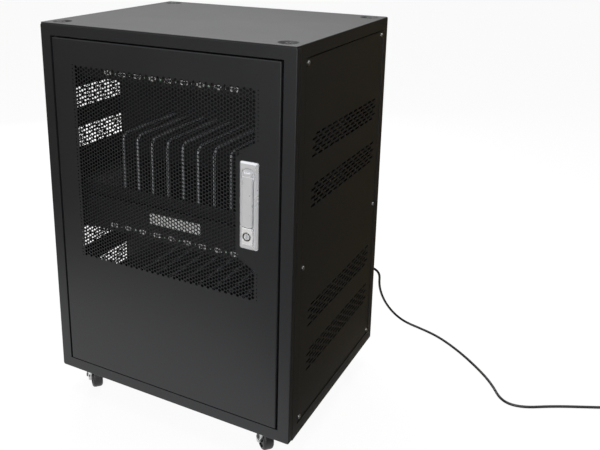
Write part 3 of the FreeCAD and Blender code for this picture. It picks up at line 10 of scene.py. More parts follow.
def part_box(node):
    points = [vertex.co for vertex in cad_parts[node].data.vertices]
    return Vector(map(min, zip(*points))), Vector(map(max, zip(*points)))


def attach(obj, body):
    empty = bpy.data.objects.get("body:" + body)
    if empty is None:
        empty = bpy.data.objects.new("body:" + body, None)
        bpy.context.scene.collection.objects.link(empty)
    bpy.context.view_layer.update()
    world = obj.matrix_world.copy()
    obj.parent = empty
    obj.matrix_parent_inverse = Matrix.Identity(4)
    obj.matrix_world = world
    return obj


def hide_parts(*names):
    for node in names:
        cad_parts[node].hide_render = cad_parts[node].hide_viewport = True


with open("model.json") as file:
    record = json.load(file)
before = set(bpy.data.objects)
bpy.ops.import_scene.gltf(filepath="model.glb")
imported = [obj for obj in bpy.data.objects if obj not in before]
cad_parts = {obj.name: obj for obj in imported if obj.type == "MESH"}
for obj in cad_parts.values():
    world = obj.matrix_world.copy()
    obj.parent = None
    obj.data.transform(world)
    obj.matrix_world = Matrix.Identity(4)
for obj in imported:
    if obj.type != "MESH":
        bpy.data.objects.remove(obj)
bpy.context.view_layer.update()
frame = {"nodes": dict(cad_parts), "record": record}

bl_info = {
    "name": "Charging cabinet",
    "version": (1, 0, 0),
    "blender": (4, 5, 0),
    "location": "View3D > Sidebar > Cabinet",
    "description": "Finishes, perforated door sheet, mains cord and studio of a charging cabinet",
    "category": "Object",
}

MM = 0.001
IMAGE_WIDTH = 600
IMAGE_HEIGHT = 450


def linear(hex_colour):
    """Linear red, green and blue of an sRGB hex colour."""
    channels = [int(hex_colour[i:i + 2], 16) / 255 for i in (1, 3, 5)]
    return tuple(c / 12.92 if c <= 0.04045 else ((c + 0.055) / 1.055) ** 2.4 for c in channels)


def colour_prop(name, description, hex_colour):
    """A setting for a colour."""
    return bpy.props.FloatVectorProperty(name=name, description=description, subtype="COLOR", size=3,
                                         min=0.0, max=1.0, default=linear(hex_colour))


def length_prop(name, description, millimetres):
    """A setting for a length, given in millimetres and kept in metres."""
    return bpy.props.FloatProperty(name=name, description=description, unit="LENGTH", subtype="DISTANCE",
                                   min=0.0, default=millimetres * MM)


class CabinetColours(bpy.types.PropertyGroup):
    """Colours of the cabinet's finishes"""
    powder_coat: colour_prop("Powder coat", "Black satin coat of the sheet steel", "#18191B")
    zinc: colour_prop("Zinc", "Zinc plating of screws, castor forks and the key barrel", "#C4C5C6")
    wire: colour_prop("Wire", "Satin plating of the wire dividers", "#888A8D")
    silver: colour_prop("Silver", "Silver lacquer of the swing handle", "#D6D7DA")
    nickel: colour_prop("Nickel", "Plating of the port rims and the lock's block", "#DADADB")
    blackened: colour_prop("Blackened steel", "Oxide finish of bolts, pins and brake levers", "#1A1A1B")
    plastic: colour_prop("Black plastic", "Moulded plastic of plug, gland and inserts", "#1B1B1C")
    jacket: colour_prop("Cord jacket", "Jacket of the mains cord", "#0E0E0F")
    label: colour_prop("Label", "Pale plate on the charging unit", "#B4B5B4")
    lamp: colour_prop("Lamp", "Lenses of the pilot lamps", "#8FA493")
    tread: colour_prop("Wheel", "Moulded castor wheels", "#0C0C0E")


class CabinetSizes(bpy.types.PropertyGroup):
    """Sizes that the looks add to the solids"""
    hole_diameter: length_prop("Hole diameter", "Diameter of the door's perforations", 6.6)
    hole_pitch: length_prop("Hole pitch", "Distance between neighbouring perforations", 8.0)
    notch_x: length_prop("Notch side", "Left side of the plain patch round the handle", 178.0)
    notch_bottom: length_prop("Notch bottom", "Height where the patch starts at the field's edge", 436.0)
    notch_top: length_prop("Notch top", "Height where the patch ends at the field's edge", 700.0)
    notch_slant: length_prop("Notch slant", "Rise of the patch's slanted corners", 32.0)
    barrel_rim: length_prop("Barrel rim", "Width of the rim round the key barrel's face", 1.2)
    barrel_gap: length_prop("Barrel gap", "Width of the ring between the rim and the key's plug", 1.5)
    barrel_depth: length_prop("Barrel depth", "How deep that ring goes", 5.0)
    barrel_sink: length_prop("Barrel sink", "How far the plug's face lies behind the rim", 0.8)
    barrel_edge: length_prop("Barrel edge", "Rounding of the key barrel's edges", 0.15)
    keyway_width: length_prop("Keyway width", "Width of the slot that the key goes into", 2.0)
    keyway_height: length_prop("Keyway height", "Height of the slot that the key goes into", 8.0)
    keyway_depth: length_prop("Keyway depth", "How far the key's slot is cut", 4.0)
    cord_diameter: length_prop("Cord diameter", "Outer diameter of the mains cord", 6.2)
    cord_length: length_prop("Cord length", "Real length of the mains cord", 1920.0)


class CabinetView(bpy.types.PropertyGroup):
    """Where the picture is taken from"""
    azimuth: bpy.props.FloatProperty(name="Azimuth", description="Turn of the camera to the right",
                                     subtype="ANGLE", default=math.radians(28.15))
    elevation: bpy.props.FloatProperty(name="Elevation", description="Downward look of the camera",
                                       subtype="ANGLE", default=math.radians(15.85))
    roll: bpy.props.FloatProperty(name="Roll", description="Lean of the camera", subtype="ANGLE",
                                  default=math.radians(0.55))
    place: bpy.props.FloatVectorProperty(name="Place", description="Where the camera stands",
                                         subtype="TRANSLATION", unit="LENGTH",
                                         default=(0.8564, -1.4143, 1.1056))
    focal_pixels: bpy.props.FloatProperty(name="Focal length", default=753.6,
                                          description="Focal length in pixels of the picture")
    axis_pixel: bpy.props.FloatVectorProperty(name="Optical axis", size=2, default=(260.0, 130.0),
                                              description="Pixel that the optical axis goes through")


# Materials
# Places of the mix node's sockets when it mixes colours, because their names are there more than once
MIX_FACTOR = 0
MIX_FIRST = 6
MIX_SECOND = 7
MIX_RESULT = 2
# A cloud is this many grains across, and a grain stands this share of its size high
CLOUD_GRAINS = 40
RELIEF_SHARE = 0.1


def add_node(tree, kind, inputs=None, **settings):
    """Adds a node, sets its options, and sets or links its inputs."""
    new = tree.nodes.new(kind)
    for key, value in settings.items():
        setattr(new, key, value)
    for key, value in (inputs or {}).items():
        if isinstance(value, bpy.types.NodeSocket):
            tree.links.new(value, new.inputs[key])
        else:
            new.inputs[key].default_value = value
    return new


def new_material(name):
    """A new material and its Principled shader."""
    made = bpy.data.materials.new(name)
    made.use_nodes = True
    return made, made.node_tree.nodes["Principled BSDF"]


def rgba(colour):
    """The colour with full opacity."""
    return (colour[0], colour[1], colour[2], 1.0)


def per_metre(millimetres):
    """Noise scale on Object coordinates for a grain of that size."""
    return 1.0 / (millimetres * MM)


def vary(shader, colour, grain, spread, rough, rough_spread, bump):
    """Cloudy colour and roughness, and a bump of a grain in millimetres, on a shader."""
    tree = shader.id_data
    coordinates = add_node(tree, "ShaderNodeTexCoord").outputs["Object"]
    clouds = add_node(tree, "ShaderNodeTexNoise", {"Vector": coordinates, "Detail": 3.0,
                                                   "Scale": per_metre(grain * CLOUD_GRAINS)})
    fine = add_node(tree, "ShaderNodeTexNoise", {"Vector": coordinates, "Detail": 2.0,
                                                 "Scale": per_metre(grain)})
    dark = rgba([c * (1 - spread) for c in colour])
    pale = rgba([min(1.0, c * (1 + spread)) for c in colour])
    tint = add_node(tree, "ShaderNodeMix", {MIX_FACTOR: clouds.outputs["Fac"], MIX_FIRST: dark,
                                            MIX_SECOND: pale}, data_type="RGBA")
    tree.links.new(tint.outputs[MIX_RESULT], shader.inputs["Base Color"])
    span = add_node(tree, "ShaderNodeMapRange", {"Value": clouds.outputs["Fac"],
                                                 "To Min": rough - rough_spread,
                                                 "To Max": rough + rough_spread})
    tree.links.new(span.outputs["Result"], shader.inputs["Roughness"])
    relief = add_node(tree, "ShaderNodeBump", {"Height": fine.outputs["Fac"], "Strength": bump,
                                               "Distance": grain * MM * RELIEF_SHARE})
    tree.links.new(relief.outputs["Normal"], shader.inputs["Normal"])


def powder_coat(colours):
    # Baked powder on sheet steel: satin black with a faint orange peel, drawn at 3 mm so that it shows
    made, shader = new_material("black_powder_coat")
    shader.inputs["Specular IOR Level"].default_value = 0.42
    vary(shader, colours.powder_coat, grain=3.0, spread=0.06, rough=0.40, rough_spread=0.03, bump=0.10)
    return made


def zinc_plate(colours):
    # Zinc plated pressed steel: bright, slightly cloudy metal
    made, shader = new_material("zinc_plated_steel")
    shader.inputs["Metallic"].default_value = 1.0
    vary(shader, colours.zinc, grain=0.8, spread=0.10, rough=0.34, rough_spread=0.06, bump=0.12)
    return made


def drawn_wire(colours):
    # Bent steel wire under satin plating: pale grey with soft highlights along its length
    made, shader = new_material("satin_plated_wire")
    shader.inputs["Metallic"].default_value = 0.25
    vary(shader, colours.wire, grain=1.0, spread=0.06, rough=0.36, rough_spread=0.04, bump=0.06)
    return made


def silver_lacquer(colours):
    # Die-cast handle under silver lacquer: soft metallic grey with a fine sparkle
    made, shader = new_material("silver_lacquered_die_casting")
    shader.inputs["Metallic"].default_value = 0.62
    vary(shader, colours.silver, grain=0.6, spread=0.04, rough=0.28, rough_spread=0.03, bump=0.02)
    return made


def pearl_nickel(colours):
    # Nickel plating, pearl finish: a bright whitish metal that scatters light softly
    made, shader = new_material("pearl_nickel_plate")
    shader.inputs["Metallic"].default_value = 0.5
    vary(shader, colours.nickel, grain=0.5, spread=0.04, rough=0.22, rough_spread=0.03, bump=0.03)
    return made


def blackened_steel(colours):
    # Oxide-blackened bolts, pins and levers: near black metal with a dull oily glint
    made, shader = new_material("oxide_blackened_steel")
    shader.inputs["Metallic"].default_value = 0.5
    vary(shader, colours.blackened, grain=0.5, spread=0.10, rough=0.36, rough_spread=0.05, bump=0.08)
    return made


def moulded_plastic(colours):
    # Moulded black plastic with a fine spark-eroded grain
    made, shader = new_material("moulded_black_plastic")
    vary(shader, colours.plastic, grain=0.8, spread=0.08, rough=0.52, rough_spread=0.05, bump=0.2)
    return made


def cord_jacket(colours):
    # PVC jacket of the cord: matt black with a slight waxy sheen
    made, shader = new_material("pvc_cord_jacket")
    vary(shader, colours.jacket, grain=1.0, spread=0.10, rough=0.46, rough_spread=0.05, bump=0.1)
    return made


def label_film(colours):
    # Bare film on the charging unit: even pale grey with a soft gloss
    made, shader = new_material("grey_polycarbonate_film")
    vary(shader, colours.label, grain=0.7, spread=0.03, rough=0.36, rough_spread=0.03, bump=0.05)
    return made


def lamp_lens(colours):
    # Small unlit lenses of tinted acrylic
    made, shader = new_material("tinted_acrylic_lens")
    vary(shader, colours.lamp, grain=0.5, spread=0.05, rough=0.18, rough_spread=0.03, bump=0.02)
    return made


def wheel_nylon(colours):
    # Moulded nylon wheels, scuffed to a dull dark grey
    made, shader = new_material("scuffed_black_nylon")
    vary(shader, colours.tread, grain=1.2, spread=0.18, rough=0.50, rough_spread=0.08, bump=0.2)
    return made


FINISHES = {
    "black_powder_coat": powder_coat,
    "zinc_plated_steel": zinc_plate,
    "bright_wire": drawn_wire,
    "silver_die_cast": silver_lacquer,
    "polished_nickel": pearl_nickel,
    "blackened_steel": blackened_steel,
    "black_plastic": moulded_plastic,
    "cord_jacket": cord_jacket,
    "grey_label": label_film,
    "lamp_lens": lamp_lens,
    "wheel_tread": wheel_nylon,
}
MADE = {}


def finish_for(slot, context):
    """The material of a record slot, made once."""
    if slot not in MADE:
        MADE[slot] = FINISHES[slot](context.scene.cabinet_colours)
    return MADE[slot]


def dress(piece, slot, context):
    """Gives a piece one finish all over."""
    piece.data.materials.clear()
    piece.data.materials.append(finish_for(slot, context))


class CABINET_OT_finishes(bpy.types.Operator):
    """Gives every solid of the cabinet the finish of its material slot"""
    bl_idname = "cabinet.finishes"
    bl_label = "Finish the solids"

    def execute(self, context):
        for part in frame["record"]["subparts"]:
            solid = frame["nodes"][part["node"]]
            made = finish_for(part["material_slot"], context)
            if not solid.material_slots:
                solid.data.materials.append(made)
            for place in solid.material_slots:
                place.link = "OBJECT"
                place.material = made
        return {"FINISHED"}


# Camera
class CABINET_OT_camera(bpy.types.Operator):
    """Places the camera at the picture's viewing angle"""
    bl_idname = "cabinet.camera"
    bl_label = "Place the camera"

    def execute(self, context):
        view = context.scene.cabinet_view
        lens = bpy.data.cameras.new("camera")
        camera = bpy.data.objects.new("camera", lens)
        context.scene.collection.objects.link(camera)
        lens.lens = lens.sensor_width * view.focal_pixels / IMAGE_WIDTH
        lens.shift_x = (IMAGE_WIDTH / 2 - view.axis_pixel[0]) / IMAGE_WIDTH
        lens.shift_y = (view.axis_pixel[1] - IMAGE_HEIGHT / 2) / IMAGE_WIDTH
        turn = Euler((math.pi / 2 - view.elevation, 0.0, view.azimuth)).to_matrix()
        turn = turn @ Matrix.Rotation(view.roll, 3, "Z")
        camera.matrix_world = Matrix.Translation(Vector(view.place)) @ turn.to_4x4()
        context.scene.camera = camera
        return {"FINISHED"}


# Mains cord, in metres, along the same route as the solid
CORD_EXIT = Vector((0.232, 0.2743, 0.220))
# Heights of the cord's middle where it lies on the floor and where the coil starts
FLOOR_LINE = 0.0033
COIL_LINE = 0.0046
CORD_ROUTE = (
    CORD_EXIT,
    Vector((0.232, 0.3183, 0.220)),
    Vector((0.281, 0.345, 0.206)),
    Vector((0.277, 0.352, 0.150)),
    Vector((0.286, 0.402, 0.074)),
    Vector((0.317, 0.452, 0.011)),
    Vector((0.378, 0.449, FLOOR_LINE)),
    Vector((0.432, 0.430, FLOOR_LINE)),
    Vector((0.498, 0.385, FLOOR_LINE)),
    Vector((0.558, 0.331, FLOOR_LINE)),
    Vector((0.602, 0.282, FLOOR_LINE)),
    Vector((0.637, 0.222, FLOOR_LINE)),
    Vector((0.684, 0.220, FLOOR_LINE)),
    Vector((0.748, 0.262, FLOOR_LINE)),
    Vector((0.822, 0.299, FLOOR_LINE)),
    Vector((0.872, 0.322, COIL_LINE)),
    Vector((0.914, 0.341, COIL_LINE)),
)
# Outer turn of the coil, distance between its turns, and its straight ends
COIL_RADIUS = 0.041
COIL_PITCH = 0.007
COIL_LEAD = 0.0062
COIL_TAIL = 0.034
COIL_HALF_TURNS_IN = 4
POINTS_PER_HALF_TURN = 8
# Steps of the cord's tube round its section and along each span, and the order of its curve
CORD_ROUND_STEPS = 5
CORD_SPAN_STEPS = 6
CORD_ORDER = 3


def coil_points():
    """Two turns in on the floor, a half turn up, and back out on top, at the end of the route."""
    radii = [COIL_RADIUS - index * COIL_PITCH / 2 for index in range(COIL_HALF_TURNS_IN + 1)]
    radii += radii[-2:0:-1]
    step = math.pi / POINTS_PER_HALF_TURN
    points = []
    start = COIL_RADIUS
    side = 1
    low = COIL_LINE
    for index, radius in enumerate(radii):
        middle = start - side * radius
        rise = COIL_PITCH if index == COIL_HALF_TURNS_IN else 0.0
        reach = radius / math.cos(step / 2)
        for count in range(POINTS_PER_HALF_TURN):
            angle = (count + 0.5) * step
            share = (1 - math.cos(angle)) / 2
            points.append(Vector((middle + side * reach * math.cos(angle), side * reach * math.sin(angle),
                                  low + rise * share)))
        start -= side * 2 * radius
        side = -side
        low += rise
    points.append(Vector((start, COIL_TAIL / 2, low)))
    points.append(Vector((start, COIL_TAIL, low)))
    heading = CORD_ROUTE[-1] - CORD_ROUTE[-2]
    turn = Matrix.Rotation(math.atan2(heading.y, heading.x) - math.pi / 2, 3, "Z")
    entry = turn @ Vector((COIL_RADIUS, -COIL_LEAD, 0.0))
    shift = Vector((CORD_ROUTE[-1].x - entry.x, CORD_ROUTE[-1].y - entry.y, 0.0))
    return [turn @ point + shift for point in points]


class CABINET_OT_cord(bpy.types.Operator):
    """Lays the mains cord along its route and winds the rest into a tied coil"""
    bl_idname = "cabinet.cord"
    bl_label = "Lay the mains cord"

    def execute(self, context):
        sizes = context.scene.cabinet_sizes
        line = bpy.data.curves.new("mains_cord", "CURVE")
        line.dimensions = "3D"
        line.bevel_depth = sizes.cord_diameter / 2
        line.bevel_resolution = CORD_ROUND_STEPS
        line.resolution_u = CORD_SPAN_STEPS
        line.use_fill_caps = True
        points = list(CORD_ROUTE) + coil_points()
        spline = line.splines.new("NURBS")
        spline.points.add(len(points) - 1)
        for point, place in zip(spline.points, points):
            point.co = (place.x, place.y, place.z, 1.0)
        spline.order_u = CORD_ORDER
        spline.use_endpoint_u = True
        piece = bpy.data.objects.new("mains_cord", line)
        context.scene.collection.objects.link(piece)
        dress(piece, "cord_jacket", context)
        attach(piece, "cabinet")
        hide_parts("cord", "coil")
        return {"FINISHED"}


# Perforated field of the door
# A hole is six arcs round a point of the grid, and at this profile of the bevel they make one circle
HOLE_ARCS = 6
ARC_SEGMENTS = 2
ROUND_PROFILE = 0.179
# Sheet left between a hole and the field's outline
HOLE_RIM = 0.6 * MM
# A corner of the sheet's mesh this near to a point of the grid is taken as that point
POINT_REACH = 0.6 * MM


def select_in_mesh(piece, kind, chosen):
    """Selects only those vertices or faces of a piece in edit mode for which chosen is true."""
    bpy.ops.mesh.select_mode(type=kind)
    bpy.ops.mesh.select_all(action="DESELECT")
    mesh = bmesh.from_edit_mesh(piece.data)
    for element in mesh.verts if kind == "VERT" else mesh.faces:
        if chosen(element):
            element.select_set(True)
    mesh.select_flush_mode()
    bmesh.update_edit_mesh(piece.data)


class DoorField:
    """Outline of the perforated field and the staggered points of its holes."""

    def __init__(self, sizes):
        (self.left, self.front, self.low), (self.right, self.back, self.high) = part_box("door_mesh")
        self.notch_x = sizes.notch_x
        self.notch_low = sizes.notch_bottom
        self.notch_high = sizes.notch_top
        self.slant = sizes.notch_slant / (self.right - self.notch_x)
        self.radius = sizes.hole_diameter / 2
        self.pitch = sizes.hole_pitch
        self.column = sizes.hole_pitch * math.sqrt(3) / 2

    def notch_span(self, x):
        """Heights between which the plain patch beside the handle lies, at one x."""
        rise = self.slant * (self.right - x)
        return self.notch_low + rise, self.notch_high - rise

    def in_notch(self, x, z, spare=0.0):
        """Whether a point lies in the plain patch or within a spare distance of it."""
        if x < self.notch_x - spare:
            return False
        low, high = self.notch_span(max(x, self.notch_x))
        return low - spare < z < high + spare

    def from_centre(self, point):
        """Distance from the nearest point of the staggered grid."""
        nearest = round((point.x - self.left) / self.column - 0.5)
        distances = []
        for index in (nearest - 1, nearest, nearest + 1):
            x = self.left + (index + 0.5) * self.column
            start = self.low + self.pitch / 2 * (index % 2)
            z = start + round((point.z - start) / self.pitch) * self.pitch
            distances.append(math.hypot(point.x - x, point.z - z))
        return min(distances)

    def takes_hole(self, point):
        """Whether a whole hole fits into the field at a point of the staggered grid."""
        spare = self.radius + HOLE_RIM
        if min(point.x - self.left, self.right - point.x) < spare:
            return False
        if min(point.z - self.low, self.high - point.z) < spare:
            return False
        if self.in_notch(point.x, point.z, spare):
            return False
        return self.from_centre(point) < POINT_REACH


def staggered_sheet(context, field):
    """A grid over the field whose every other column is raised by half a pitch, split into triangles."""
    columns = math.ceil((field.right - field.left) / field.column) + 2
    rows = math.ceil((field.high - field.low) / field.pitch) + 2
    first = Vector((field.left - field.column / 2, field.front, field.low - field.pitch))
    middle = first + Vector((columns * field.column / 2, 0.0, rows * field.pitch / 2))
    bpy.ops.object.select_all(action="DESELECT")
    bpy.ops.mesh.primitive_grid_add(x_subdivisions=columns, y_subdivisions=rows, size=1.0,
                                    location=middle, rotation=(math.pi / 2, 0.0, 0.0))
    piece = context.object
    piece.name = "door_perforated_sheet"
    piece.data.name = piece.name
    piece.scale = (columns * field.column, rows * field.pitch, 1.0)
    bpy.ops.object.transform_apply(location=True, rotation=True, scale=True)
    bpy.ops.object.mode_set(mode="EDIT")
    select_in_mesh(piece, "VERT", lambda v: round((v.co.x - first.x) / field.column) % 2 == 0)
    bpy.ops.transform.translate(value=(0.0, 0.0, field.pitch / 2))
    bpy.ops.mesh.select_all(action="SELECT")
    bpy.ops.mesh.quads_convert_to_tris(quad_method="SHORTEST_DIAGONAL")
    return piece


def trim_to_field(piece, field):
    """Cuts the sheet back to the field's outline, with the plain patch beside the handle taken out."""
    for place, outward in (((field.left, 0, 0), (-1, 0, 0)), ((field.right, 0, 0), (1, 0, 0)),
                           ((0, 0, field.low), (0, 0, -1)), ((0, 0, field.high), (0, 0, 1))):
        bpy.ops.mesh.select_all(action="SELECT")
        bpy.ops.mesh.bisect(plane_co=place, plane_no=outward, clear_outer=True)
    low, high = field.notch_span(field.notch_x)

    def beside_notch(face):
        centre = face.calc_center_median()
        near = abs(centre.x - field.notch_x) < field.column
        return near and low - field.pitch < centre.z < high + field.pitch

    select_in_mesh(piece, "FACE", beside_notch)
    bpy.ops.mesh.bisect(plane_co=(field.notch_x, 0, 0), plane_no=(1, 0, 0))
    for place, outward in (((field.right, 0, field.notch_low), (field.slant, 0, 1)),
                           ((field.right, 0, field.notch_high), (-field.slant, 0, 1))):
        select_in_mesh(piece, "FACE", lambda face: face.calc_center_median().x > field.notch_x)
        bpy.ops.mesh.bisect(plane_co=place, plane_no=outward)

    def within_notch(face):
        centre = face.calc_center_median()
        return field.in_notch(centre.x, centre.z)

    select_in_mesh(piece, "FACE", within_notch)
    bpy.ops.mesh.delete(type="FACE")


def punch_holes(piece, field):
    """Opens a round hole at each point of the grid, and gives the sheet its thickness."""
    select_in_mesh(piece, "VERT", lambda vertex: field.takes_hole(vertex.co))
    bpy.ops.mesh.bevel(affect="VERTICES", offset=field.radius, segments=ARC_SEGMENTS,
                       profile=ROUND_PROFILE, clamp_overlap=False)
    inside = field.radius * math.cos(math.pi / HOLE_ARCS)
    select_in_mesh(piece, "FACE", lambda face: field.from_centre(face.calc_center_median()) < inside)
    bpy.ops.mesh.delete(type="FACE")
    bpy.ops.object.mode_set(mode="OBJECT")
    wall = piece.modifiers.new("thickness", "SOLIDIFY")
    wall.thickness = field.back - field.front
    wall.offset = -1.0
    bpy.ops.object.modifier_apply(modifier=wall.name)


class CABINET_OT_door_mesh(bpy.types.Operator):
    """Makes the door's perforated field, with staggered holes and a plain patch beside the handle"""
    bl_idname = "cabinet.door_mesh"
    bl_label = "Perforate the door"

    def execute(self, context):
        field = DoorField(context.scene.cabinet_sizes)
        piece = staggered_sheet(context, field)
        trim_to_field(piece, field)
        punch_holes(piece, field)
        dress(piece, "black_powder_coat", context)
        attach(piece, "door")
        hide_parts("door_mesh")
        return {"FINISHED"}


# Key barrel of the lock
BARREL_SIDES = 64
EDGE_SEGMENTS = 2
CRISP_ANGLE = math.radians(40)
# A face looks to the front where its normal leans forward at least this much
FACING_FRONT = -0.9


def barrel_blank(context, middle, radius, depth):
    """A plain round bar along the lock's depth, with the finishes of the rim and of the plug."""
    bpy.ops.object.select_all(action="DESELECT")
    bpy.ops.mesh.primitive_cylinder_add(vertices=BARREL_SIDES, radius=radius, depth=depth,
                                        location=middle, rotation=(math.pi / 2, 0.0, 0.0))
    piece = context.object
    piece.name = "key_barrel"
    piece.data.name = piece.name
    dress(piece, "zinc_plated_steel", context)
    piece.data.materials.append(finish_for("silver_die_cast", context))
    bpy.ops.object.transform_apply(location=True, rotation=True, scale=True)
    return piece


def turn_rings(piece, sizes):
    """Sinks a ring inside the rim and brings the plug's face back up."""
    select_in_mesh(piece, "FACE", lambda face: face.normal.y < FACING_FRONT)
    rise = sizes.barrel_depth - sizes.barrel_sink
    for width, step in ((sizes.barrel_rim, sizes.barrel_depth), (sizes.barrel_gap, -rise)):
        bpy.ops.mesh.inset(thickness=width)
        bpy.ops.mesh.extrude_region_move(TRANSFORM_OT_translate={"value": (0.0, step, 0.0)})


def cut_keyway(piece, middle, plug_radius, sizes):
    """Makes the plug's face silver, cuts it along the keyway's sides and sinks what they enclose."""
    half_width = sizes.keyway_width / 2
    half_height = sizes.keyway_height / 2

    def on_plug(face):
        away = face.calc_center_median() - middle
        return face.normal.y < FACING_FRONT and math.hypot(away.x, away.z) < plug_radius

    def in_keyway(face):
        away = face.calc_center_median() - middle
        inside = abs(away.x) < half_width and abs(away.z) < half_height
        return inside and face.normal.y < FACING_FRONT

    select_in_mesh(piece, "FACE", on_plug)
    piece.active_material_index = len(piece.data.materials) - 1
    bpy.ops.object.material_slot_assign()
    for side in (-1, 1):
        select_in_mesh(piece, "FACE", on_plug)
        bpy.ops.mesh.bisect(plane_co=middle + Vector((side * half_width, 0, 0)), plane_no=(1, 0, 0))
        select_in_mesh(piece, "FACE", on_plug)
        bpy.ops.mesh.bisect(plane_co=middle + Vector((0, 0, side * half_height)), plane_no=(0, 0, 1))
    select_in_mesh(piece, "FACE", in_keyway)
    bpy.ops.mesh.extrude_region_move(TRANSFORM_OT_translate={"value": (0.0, sizes.keyway_depth, 0.0)})


def soften_edges(piece, width):
    """Rounds the crisp edges of a piece a little."""
    edge = piece.modifiers.new("edge", "BEVEL")
    edge.width = width
    edge.segments = EDGE_SEGMENTS
    edge.limit_method = "ANGLE"
    edge.angle_limit = CRISP_ANGLE
    bpy.ops.object.modifier_apply(modifier=edge.name)
    bpy.ops.object.shade_smooth_by_angle(angle=CRISP_ANGLE)


class CABINET_OT_key_barrel(bpy.types.Operator):
    """Turns the lock's key barrel: a raised rim, a sunk ring, and a plug with its keyway"""
    bl_idname = "cabinet.key_barrel"
    bl_label = "Turn the key barrel"

    def execute(self, context):
        sizes = context.scene.cabinet_sizes
        low, high = (Vector(corner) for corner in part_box("key_cylinder"))
        middle = (low + high) / 2
        radius = (high.x - low.x) / 2
        piece = barrel_blank(context, middle, radius, high.y - low.y)
        bpy.ops.object.mode_set(mode="EDIT")
        turn_rings(piece, sizes)
        cut_keyway(piece, middle, radius - sizes.barrel_rim - sizes.barrel_gap, sizes)
        bpy.ops.object.mode_set(mode="OBJECT")
        soften_edges(piece, sizes.barrel_edge)
        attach(piece, "key")
        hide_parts("key_cylinder")
        return {"FINISHED"}


# Studio, in metres and watts
WHITE = (1.0, 1.0, 1.0, 1.0)
# Strength of the white surroundings for the light that they cast
SURROUNDINGS = 0.6
# Share of the floor's look that is plain white
PAPER_SHARE = 0.9
PAPER_COLOUR = "#F4F4F4"
# Painted shade with a warm tint, seen only where the black sides reflect the screen and mat
REFLECTED_SHADE_COLOUR = "#463C26"
FLOOR_SIZE = 30.0
# Screen and mat of painted shade, seen only in reflections, that the black sides reflect
SCREEN_PLACE = (-0.45, 0.18)
SCREEN_RADIUS = 0.95
SCREEN_HEIGHT = 1.05
SCREEN_SIDES = 48
MAT_PLACE = (0.62, 0.2, MM)
MAT_WIDTH = 0.6
MAT_DEPTH = 1.56
LAMP_AIM = (0.0, 0.0, 0.45)


def lamp(context, name, place, size, watts):
    """A square soft box that faces the cabinet."""
    light = bpy.data.lights.new(name, "AREA")
    light.size = size
    light.energy = watts
    box = bpy.data.objects.new(name, light)
    context.scene.collection.objects.link(box)
    box.location = place
    box.rotation_euler = (Vector(LAMP_AIM) - Vector(place)).to_track_quat("-Z", "Y").to_euler()


def white_to_eye(tree):
    """One for rays from the camera, a gloss or a clear piece, so that these see plain white."""
    rays = add_node(tree, "ShaderNodeLightPath").outputs
    either = add_node(tree, "ShaderNodeMath", {0: rays["Is Camera Ray"], 1: rays["Is Glossy Ray"]},
                      operation="MAXIMUM")
    any_of = add_node(tree, "ShaderNodeMath", {0: either.outputs[0], 1: rays["Is Transmission Ray"]},
                      operation="MAXIMUM")
    return any_of.outputs[0]


def studio_world(context):
    """White surroundings, dimmer for the light that they cast than for the eye."""
    world = bpy.data.worlds.new("studio")
    context.scene.world = world
    world.use_nodes = True
    tree = world.node_tree
    strength = add_node(tree, "ShaderNodeMapRange", {"Value": white_to_eye(tree),
                                                     "To Min": SURROUNDINGS, "To Max": 1.0})
    background = tree.nodes["Background"]
    background.inputs["Color"].default_value = WHITE
    tree.links.new(strength.outputs["Result"], background.inputs["Strength"])


def studio_floor(context):
    """Pale floor: white paper to the eye, with the cabinet's soft shadow left on it."""
    bpy.ops.object.select_all(action="DESELECT")
    bpy.ops.mesh.primitive_plane_add(size=FLOOR_SIZE, location=(0.0, 0.0, 0.0))
    floor = context.object
    floor.name = "floor"
    made, shader = new_material("white_paper")
    shader.inputs["Base Color"].default_value = rgba(linear(PAPER_COLOUR))
    shader.inputs["Roughness"].default_value = 0.9
    shader.inputs["Specular IOR Level"].default_value = 0.0
    tree = made.node_tree
    glow = add_node(tree, "ShaderNodeEmission", {"Color": WHITE, "Strength": 1.0})
    share = add_node(tree, "ShaderNodeMath", {0: white_to_eye(tree), 1: PAPER_SHARE},
                     operation="MULTIPLY")
    both = add_node(tree, "ShaderNodeMixShader",
                    {0: share.outputs[0], 1: shader.outputs[0], 2: glow.outputs[0]})
    tree.links.new(both.outputs[0], tree.nodes["Material Output"].inputs["Surface"])
    floor.data.materials.append(made)


def reflected_shade_material():
    # Painted shade with a warm tint: a dark brown sheet colour that the black sides reflect
    made, shader = new_material("painted_reflected_shade")
    shader.inputs["Base Color"].default_value = rgba(linear(REFLECTED_SHADE_COLOUR))
    shader.inputs["Roughness"].default_value = 1.0
    shader.inputs["Specular IOR Level"].default_value = 0.0
    return made


def for_reflections(piece, name, painted_shade):
    """Gives a piece of the studio the painted shade and leaves it to reflections alone."""
    piece.name = name
    piece.data.materials.append(painted_shade)
    piece.visible_camera = False
    piece.visible_diffuse = False
    piece.visible_transmission = False
    piece.visible_shadow = False


def dark_surroundings(context):
    """A low screen round the cabinet and a mat on its right, of painted shade seen only in reflections,
    so that the black sides stay black.
    """
    painted_shade = reflected_shade_material()
    bpy.ops.object.select_all(action="DESELECT")
    bpy.ops.mesh.primitive_cylinder_add(vertices=SCREEN_SIDES, radius=SCREEN_RADIUS, depth=SCREEN_HEIGHT,
                                        end_fill_type="NOTHING",
                                        location=(SCREEN_PLACE[0], SCREEN_PLACE[1], SCREEN_HEIGHT / 2))
    for_reflections(context.object, "reflected_shade_screen", painted_shade)
    bpy.ops.object.select_all(action="DESELECT")
    bpy.ops.mesh.primitive_plane_add(size=1.0, location=MAT_PLACE)
    context.object.scale = (MAT_WIDTH, MAT_DEPTH, 1.0)
    bpy.ops.object.transform_apply(location=False, rotation=False, scale=True)
    for_reflections(context.object, "reflected_shade_mat", painted_shade)


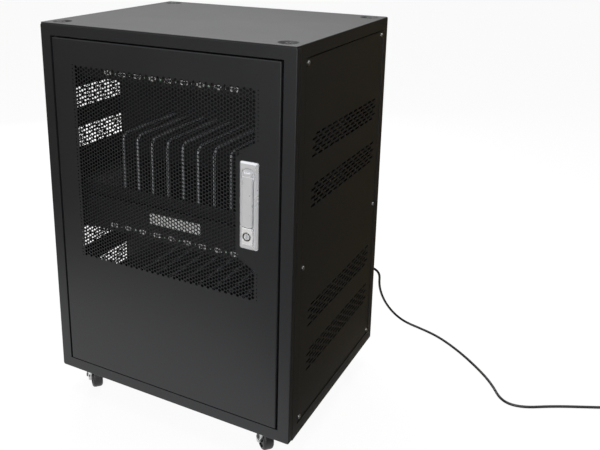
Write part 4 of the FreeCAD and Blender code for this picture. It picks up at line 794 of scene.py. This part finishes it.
class CABINET_OT_stage(bpy.types.Operator):
    """Sets the pale floor, the surroundings with their screen and mat of painted shade, and the soft
    boxes
    """
    bl_idname = "cabinet.stage"
    bl_label = "Set the studio"

    def execute(self, context):
        context.scene.view_settings.view_transform = "Standard"
        studio_world(context)
        studio_floor(context)
        dark_surroundings(context)
        lamp(context, "overhead_box", place=(-0.2, 0.3, 2.6), size=1.8, watts=47.0)
        lamp(context, "front_box", place=(0.8, -2.4, 1.25), size=1.2, watts=58.0)
        lamp(context, "rear_box", place=(-1.5, 2.0, 0.6), size=0.8, watts=45.0)
        return {"FINISHED"}


class CABINET_PT_panel(bpy.types.Panel):
    """Lists the cabinet's steps and settings"""
    bl_idname = "CABINET_PT_panel"
    bl_label = "Charging cabinet"
    bl_space_type = "VIEW_3D"
    bl_region_type = "UI"
    bl_category = "Cabinet"

    def draw(self, context):
        for operator in OPERATORS:
            self.layout.operator(operator.bl_idname)
        for group_name in GROUPS:
            group = getattr(context.scene, group_name)
            for name in group.__annotations__:
                self.layout.prop(group, name)


OPERATORS = (CABINET_OT_camera, CABINET_OT_cord, CABINET_OT_finishes, CABINET_OT_door_mesh,
             CABINET_OT_key_barrel, CABINET_OT_stage)
GROUPS = {"cabinet_colours": CabinetColours, "cabinet_sizes": CabinetSizes,
          "cabinet_view": CabinetView}


def register():
    for group in GROUPS.values():
        bpy.utils.register_class(group)
    for name, group in GROUPS.items():
        setattr(bpy.types.Scene, name, bpy.props.PointerProperty(type=group))
    for operator in OPERATORS:
        bpy.utils.register_class(operator)
    bpy.utils.register_class(CABINET_PT_panel)


def unregister():
    bpy.utils.unregister_class(CABINET_PT_panel)
    for operator in reversed(OPERATORS):
        bpy.utils.unregister_class(operator)
    for name, group in GROUPS.items():
        delattr(bpy.types.Scene, name)
        bpy.utils.unregister_class(group)


def main():
    register()
    bpy.ops.cabinet.camera()
    bpy.ops.cabinet.cord()
    bpy.ops.cabinet.finishes()
    bpy.ops.cabinet.door_mesh()
    bpy.ops.cabinet.key_barrel()
    bpy.ops.cabinet.stage()


if __name__ == "__main__":
    main()
